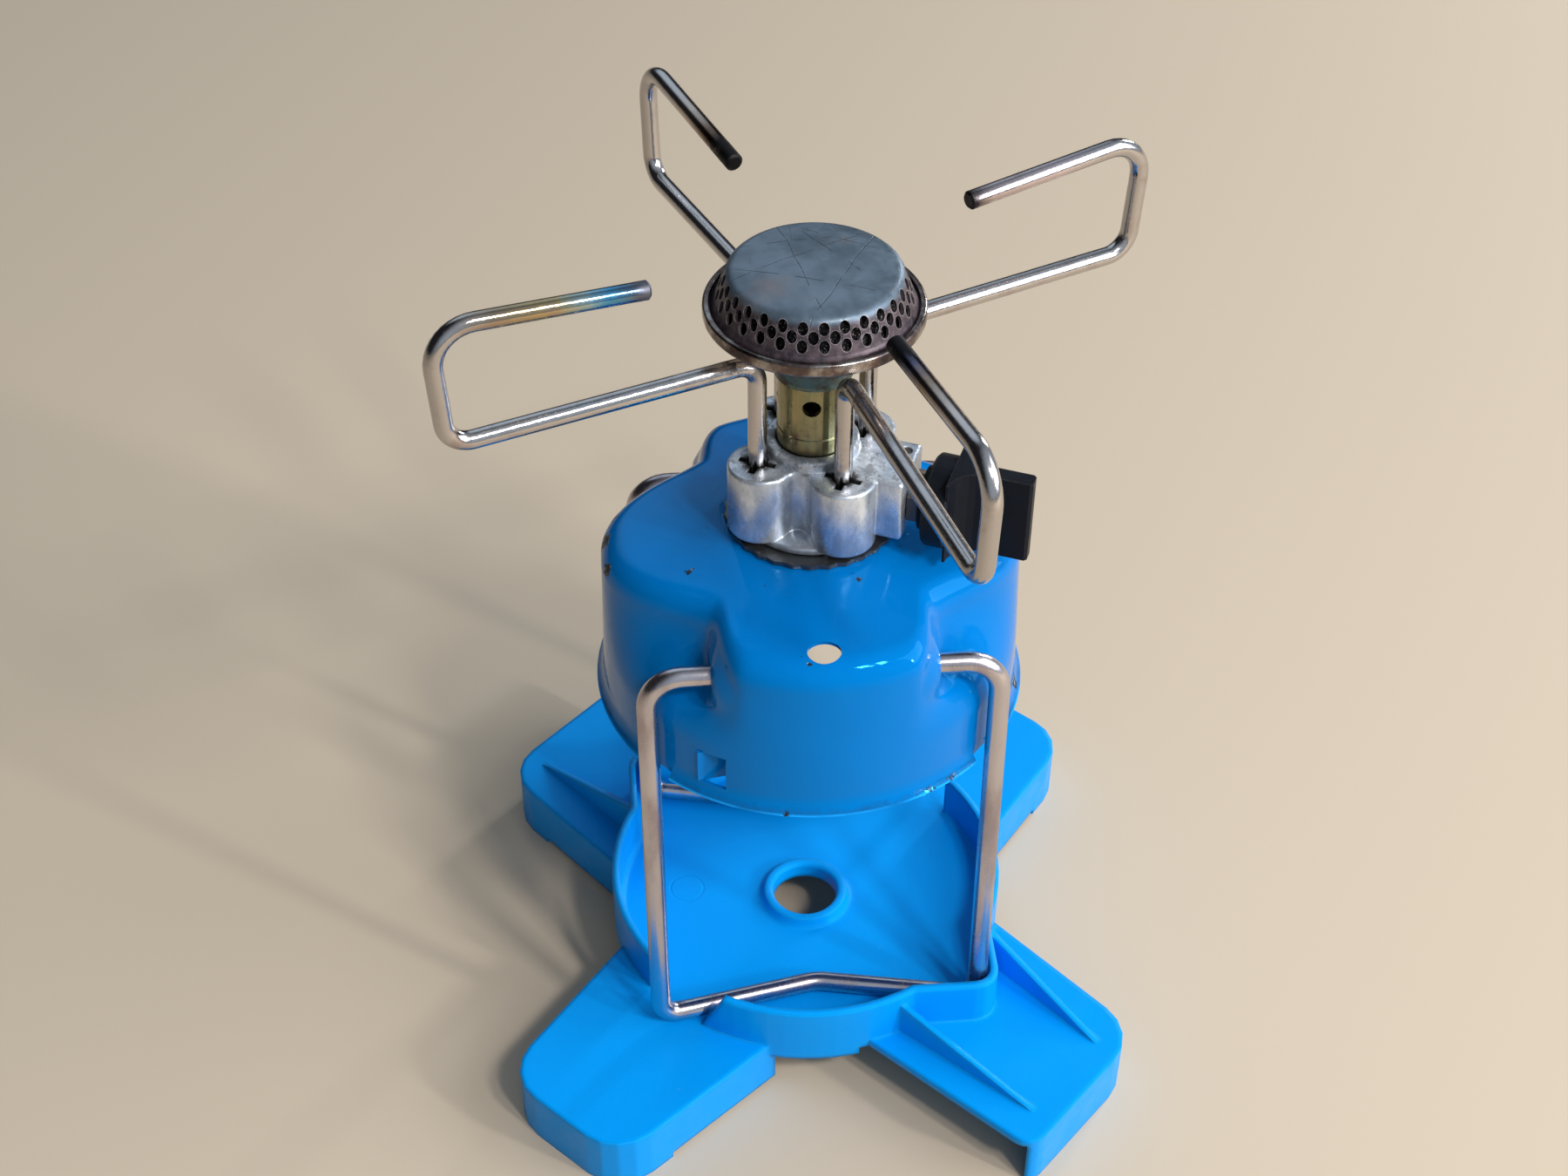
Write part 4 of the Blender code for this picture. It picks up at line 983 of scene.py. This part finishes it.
# Four bosses joined by concave webs
def castOutline():
    offset, boss, web = casting["bossOffset"], casting["bossRadius"], casting["web"]
    halfGap = offset * sin(pi / 4)
    reach = ((boss + web) ** 2 - halfGap**2) ** 0.5 + halfGap
    middle = reach * cos(pi / 4)
    lean = atan2(middle, middle - offset)
    start, sweep = lean - pi, pi / 2 - 2 * lean
    bossTurns = [lean * (j / 20 - 1) for j in range(41)]
    webTurns = [start + sweep * (j / 10) for j in range(1, 10)]
    arc = [(offset + boss * cos(a), boss * sin(a)) for a in bossTurns]
    arc += [(middle + web * cos(a), middle + web * sin(a)) for a in webTurns]
    points = []
    for angle in casting["socketAngles"]:
        turn = radians(angle + casting["bossTurn"])
        points += [(x * cos(turn) - y * sin(turn), x * sin(turn) + y * cos(turn)) for x, y in arc]
    return points


def addCasting(material):
    top, reach, half = casting["topHeight"], casting["blockReach"], casting["blockHalf"]
    form = bmesh.new()
    addPlate(form, castOutline(), casting["bottom"], top, casting["rounding"])
    body = addForm(form, "valve_body_casting", material)
    alongSpindle = turned(casting["spindleAngle"])
    block, edge, outline = bmesh.new(), casting["blockRounding"], []
    for k, (x, y) in enumerate(((reach, -half), (reach, half), (0, half), (0, -half))):
        centreX, centreY = x - edge * (1 if x else -1), y - edge * (1 if y > 0 else -1)
        arc = [radians(90 * k - 90 + 90 * j / smallSteps) for j in range(smallSteps + 1)]
        outline += [(centreX + edge * cos(a), centreY + edge * sin(a)) for a in arc]
    addPlate(block, outline, casting["blockBottom"], top, edge)
    block.transform(alongSpindle)
    spigot = turnedForm(casting["spigot"], 72)
    wells, seat = turnedForm(casting["well"], 48), turnedForm(casting["seat"], 48)
    # the two slots of a socket cross, so each of them has a cutter of its own
    first, second = bmesh.new(), bmesh.new()
    length, width, depth = casting["slot"]
    low, high = (-length, -width, top - depth), (length, width, top + 0.002)
    for angle in casting["socketAngles"]:
        place = turned(angle) @ Matrix.Translation((casting["socketOffset"], 0, 0))
        socket = place @ Matrix.Translation((0, 0, top - casting["socketDepth"] + 0.01))
        addBar(wells, 24, casting["socketRadius"], casting["socketRadius"], 0.02, socket)
        for slots, turn in zip((first, second), casting["slotTurns"]):
            addBrick(slots, low, high, place @ turned(turn))
    out, radius, length = casting["spindleBore"]
    spindle = alongSpindle @ Matrix.Translation((out, 0, casting["spindleHeight"])) @ turned(90, "Y")
    addBar(first, 32, radius, radius, length, spindle)
    x, y, radius = casting["pinHole"]
    addBar(second, 20, radius, radius, 0.015, alongSpindle @ Matrix.Translation((x, y, top - 0.0065)))
    cuts = [("DIFFERENCE", form) for form in (wells, seat, first, second)]
    carve(body, ("UNION", block), ("UNION", spigot), *cuts)
    smooth(body.data, 38)
    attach(body, "burner")
    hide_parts("valve_body")


bails = {
    "wire": 0.00235,
    "halfWidth": 0.0381,
    "stubInner": 0.0218,
    "upperBend": 0.008,
    "lowerBend": 0.005,
    "apexInset": 0.0078,
    "apexBend": 0.012,
    "tilt": 2.6,
    "floor": 0.015,
    "gap": 0.0003,
    "colour": (0.62, 0.58, 0.61),
    "patina": (0.33, 0.25, 0.26),
}


def nickelWire():
    made = Finish("nickelledWire", metallic=1.0)
    fine = made.noise(0.0009, 4, 0.7)
    stain = made.patches((0.42, 0.68), 0.009, 4, 0.55, place=made.stretched((1, 1, 0.3)))
    made.setColour(made.product(stain, 0.7), bails["colour"], bails["patina"])
    made.set("roughness", made.scaled(stain, 0.12, made.step(fine, 0.3, 0.7, 0.18, 0.24)))
    made.setBump(fine, 0.000006)
    return made.material


# A wire along any path, as a curve with many sides
def wireMesh(name, path, place, material, body, node):
    curve = bpy.data.curves.new(name, "CURVE")
    curve.dimensions = "3D"
    curve.bevel_depth = bails["wire"]
    curve.bevel_resolution = 8
    curve.use_fill_caps = True
    line = curve.splines.new("POLY")
    line.points.add(len(path) - 1)
    for point, spot in zip(line.points, path):
        point.co = (*(place @ spot), 1)
    curve.materials.append(material)
    made = addObject(name, curve)
    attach(made, body)
    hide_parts(node)


def addBails():
    steel = nickelWire()
    _, away, height = housing["pivot"]
    tilt, inset = radians(bails["tilt"]), bails["apexInset"]
    half, stub = bails["halfWidth"], bails["stubInner"]
    drop = height - bails["floor"] - bails["gap"] - bails["wire"] - inset * sin(tilt)
    foot = -drop / cos(tilt)
    corners = [(-stub, 0, 0), (-half, 0, 0), (-half, 0, foot), (0, inset, foot)]
    corners += [(half, 0, foot), (half, 0, 0), (stub, 0, 0)]
    bends = [bails[key] for key in ("upperBend", "lowerBend", "apexBend", "lowerBend", "upperBend")]
    path = bentPath(corners, bends)
    for name, side in (("front_bail", -1), ("rear_bail", 1)):
        place = Matrix.Translation((0, side * away, height))
        place @= turned(0 if side < 0 else 180) @ turned(-bails["tilt"], "X")
        wireMesh(name + "_wire", path, place, steel, name, name)


supports = {
    "radius": 0.002,
    "sides": 28,
    "chamfer": 0.0005,
    "directions": (25, 112.2, 198.2, 286.5),
    "corners": ((0, 0.1475), (0, 0.1853), (0.0659, 0.1834), (0.0675, 0.2114), (0.0227, 0.209)),
    "bends": (0.0045, 0.0055, 0.0085),
    "steel": (0.52, 0.49, 0.48),
    "bendSoot": (0.03, 0.024, 0.02),
    "haze": (0.36, 0.27, 0.26),
    # bands from the free end, in mm: where each ends, and its colour
    "bands": (
        ((0.5, (0.03, 0.028, 0.03)), (5, (0.5, 0.42, 0.42)), (22, (0.62, 0.53, 0.55))),
        ((7, (0.02, 0.018, 0.018)), (11, (0.16, 0.1, 0.07)), (20, (0.5, 0.42, 0.36))),
        (
            (2, (0.14, 0.14, 0.17)),
            (9, (0.08, 0.32, 0.55)),
            (13, (0.3, 0.45, 0.5)),
            (19, (0.5, 0.38, 0.17)),
            (32, (0.38, 0.29, 0.21)),
        ),
        ((7, (0.02, 0.019, 0.022)), (10, (0.1, 0.1, 0.16)), (17, (0.3, 0.22, 0.17)), (28, (0.6, 0.52, 0.48))),
    ),
    "bandLength": 45,  # mm of the free end that the bands share out
    "wander": 7.0,  # mm between the places where the edge of a band lies
}


def heatedRod(number, bands):
    made = Finish(f"heatedRod{number}", metallic=1.0)
    along = made.add("SeparateXYZ", {0: made.add("UVMap", uv_map="along")}).node.outputs[1]
    length, wander = supports["bandLength"], supports["wander"]
    wandering = made.math("ADD", along, made.scaled(made.noise(0.004, 4, 0.6), wander, -wander / 2))
    stops = [(end / length, colour) for end, colour in bands]
    stops.append((min(stops[-1][0] + 0.22, 1.0), supports["steel"]))
    colour = made.ramp(made.math("DIVIDE", wandering, float(length)), stops)
    height = made.part("Z")
    overFlame = made.product(
        made.step(made.axisDistance(), 0.03, 0.018),
        made.step(height, 0.18, 0.187),
        made.step(height, 0.2, 0.19),
        made.patches((0.42, 0.56), 0.004, 4, 0.65, shift=number),
    )
    colour = made.mix(made.product(overFlame, 0.85), colour, supports["bendSoot"])
    hazy = made.patches((0.52, 0.7), 0.007, 5, 0.65, shift=number * 3)
    made.setColour(made.product(hazy, 0.55), colour, supports["haze"])
    firstBand = float(bands[0][0])
    soot = made.either(made.step(wandering, firstBand + 2, firstBand - 1), overFlame)
    fine = made.noise(0.0008, 4, 0.7)
    made.set("roughness", made.scaled(soot, 0.36, made.step(fine, 0.3, 0.7, 0.1, 0.22)))
    made.setBump(fine, 0.00003)
    return made.material


# A round rod along a path in the XZ plane. V runs along it in millimetres, from its free end.
def bentRod(name, path, place, material, body, node):
    radius, chamfer, sides = supports["radius"], supports["chamfer"], supports["sides"]
    across = Vector((0, 1, 0))
    angles = [2 * pi * k / sides for k in range(sides)]
    form = bmesh.new()
    mapping = form.loops.layers.uv.new("along")
    rings, runs = [], []
    total = sum((after - before).length for before, after in zip(path, path[1:]))
    run = 0
    first, last = (path[1] - path[0]).normalized(), (path[-1] - path[-2]).normalized()
    lines = [(path[0], radius - chamfer, 0), (path[0] + first * chamfer, radius, chamfer)]
    for i in range(1, len(path) - 1):
        run += (path[i] - path[i - 1]).length
        lines.append((path[i], radius, run))
    lines.append((path[-1] - last * chamfer, radius, total - chamfer))
    lines.append((path[-1], radius - chamfer, total))
    for i, (point, size, run) in enumerate(lines):
        if i < 2:
            ahead = first
        elif i > len(lines) - 3:
            ahead = last
        else:
            ahead = (lines[i + 1][0] - lines[i - 1][0]).normalized()
        out = across.cross(ahead)
        rings.append([form.verts.new(point + (out * cos(a) + across * sin(a)) * size) for a in angles])
        runs.append((total - run) * 1000)
    for i, (low, high) in enumerate(zip(rings, rings[1:])):
        for k in range(sides):
            following = (k + 1) % sides
            face = form.faces.new((low[k], low[following], high[following], high[k]))
            ends = ((k, i), (k + 1, i), (k + 1, i + 1), (k, i + 1))
            for loop, (column, row) in zip(face.loops, ends):
                loop[mapping].uv = (column / sides, runs[row])
    for ring, run in ((rings[0][::-1], runs[0]), (rings[-1], runs[-1])):
        for loop in form.faces.new(ring).loops:
            loop[mapping].uv = (0, run)
    form.transform(place)
    rod = addForm(form, name, material)
    smooth(rod.data, 40)
    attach(rod, body)
    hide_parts(node)


def addSupports():
    path = bentPath([(x, 0, z) for x, z in supports["corners"]], supports["bends"])
    stands = zip(socketSpots(), supports["directions"], supports["bands"])
    for number, ((x, y), direction, bands) in enumerate(stands, 1):
        place = Matrix.Translation((x, y, 0)) @ turned(direction)
        name = f"pan_support_{number}"
        bentRod(name + "_rod", path, place, heatedRod(number, bands), f"support_{number}", name)


addCamera()
addLamps()
addRoom()
addFloor()
print("camera, lights and floor are in")
dress(["stabiliser_base"], bluePlastic())
soften("stabiliser_base", plastic["rounding"])
addHousing(bluePaint())
print("housing is pressed")
addCasting(castAluminium())
print("valve body is cast")
addCap(capSteel())
addPan(panSteel())
print("burner head is pressed")
dress(["burner_collar"], collarSteel())
dress(["burner_tube"], tubeSteel())
dress(["burner_gauze", "jet_filter"], wireGauze())
smallSteels = ["threaded_bush", "gland_nut", "gland_pin", "valve_spindle", "piercing_needle"]
dress(smallSteels, darkSteel("oiledSteel"))
dress(["serrated_ring"], darkSteel("ringSteel"))
dress(["control_knob"], blackPlastic())
soften("control_knob", knob["rounding"])
dress(["jet"], turnedBrass())
dress(["cartridge_seal", "spindle_seal_ring"], blackRubber())
print("materials are on")
addBails()
addSupports()
print("wires are bent")
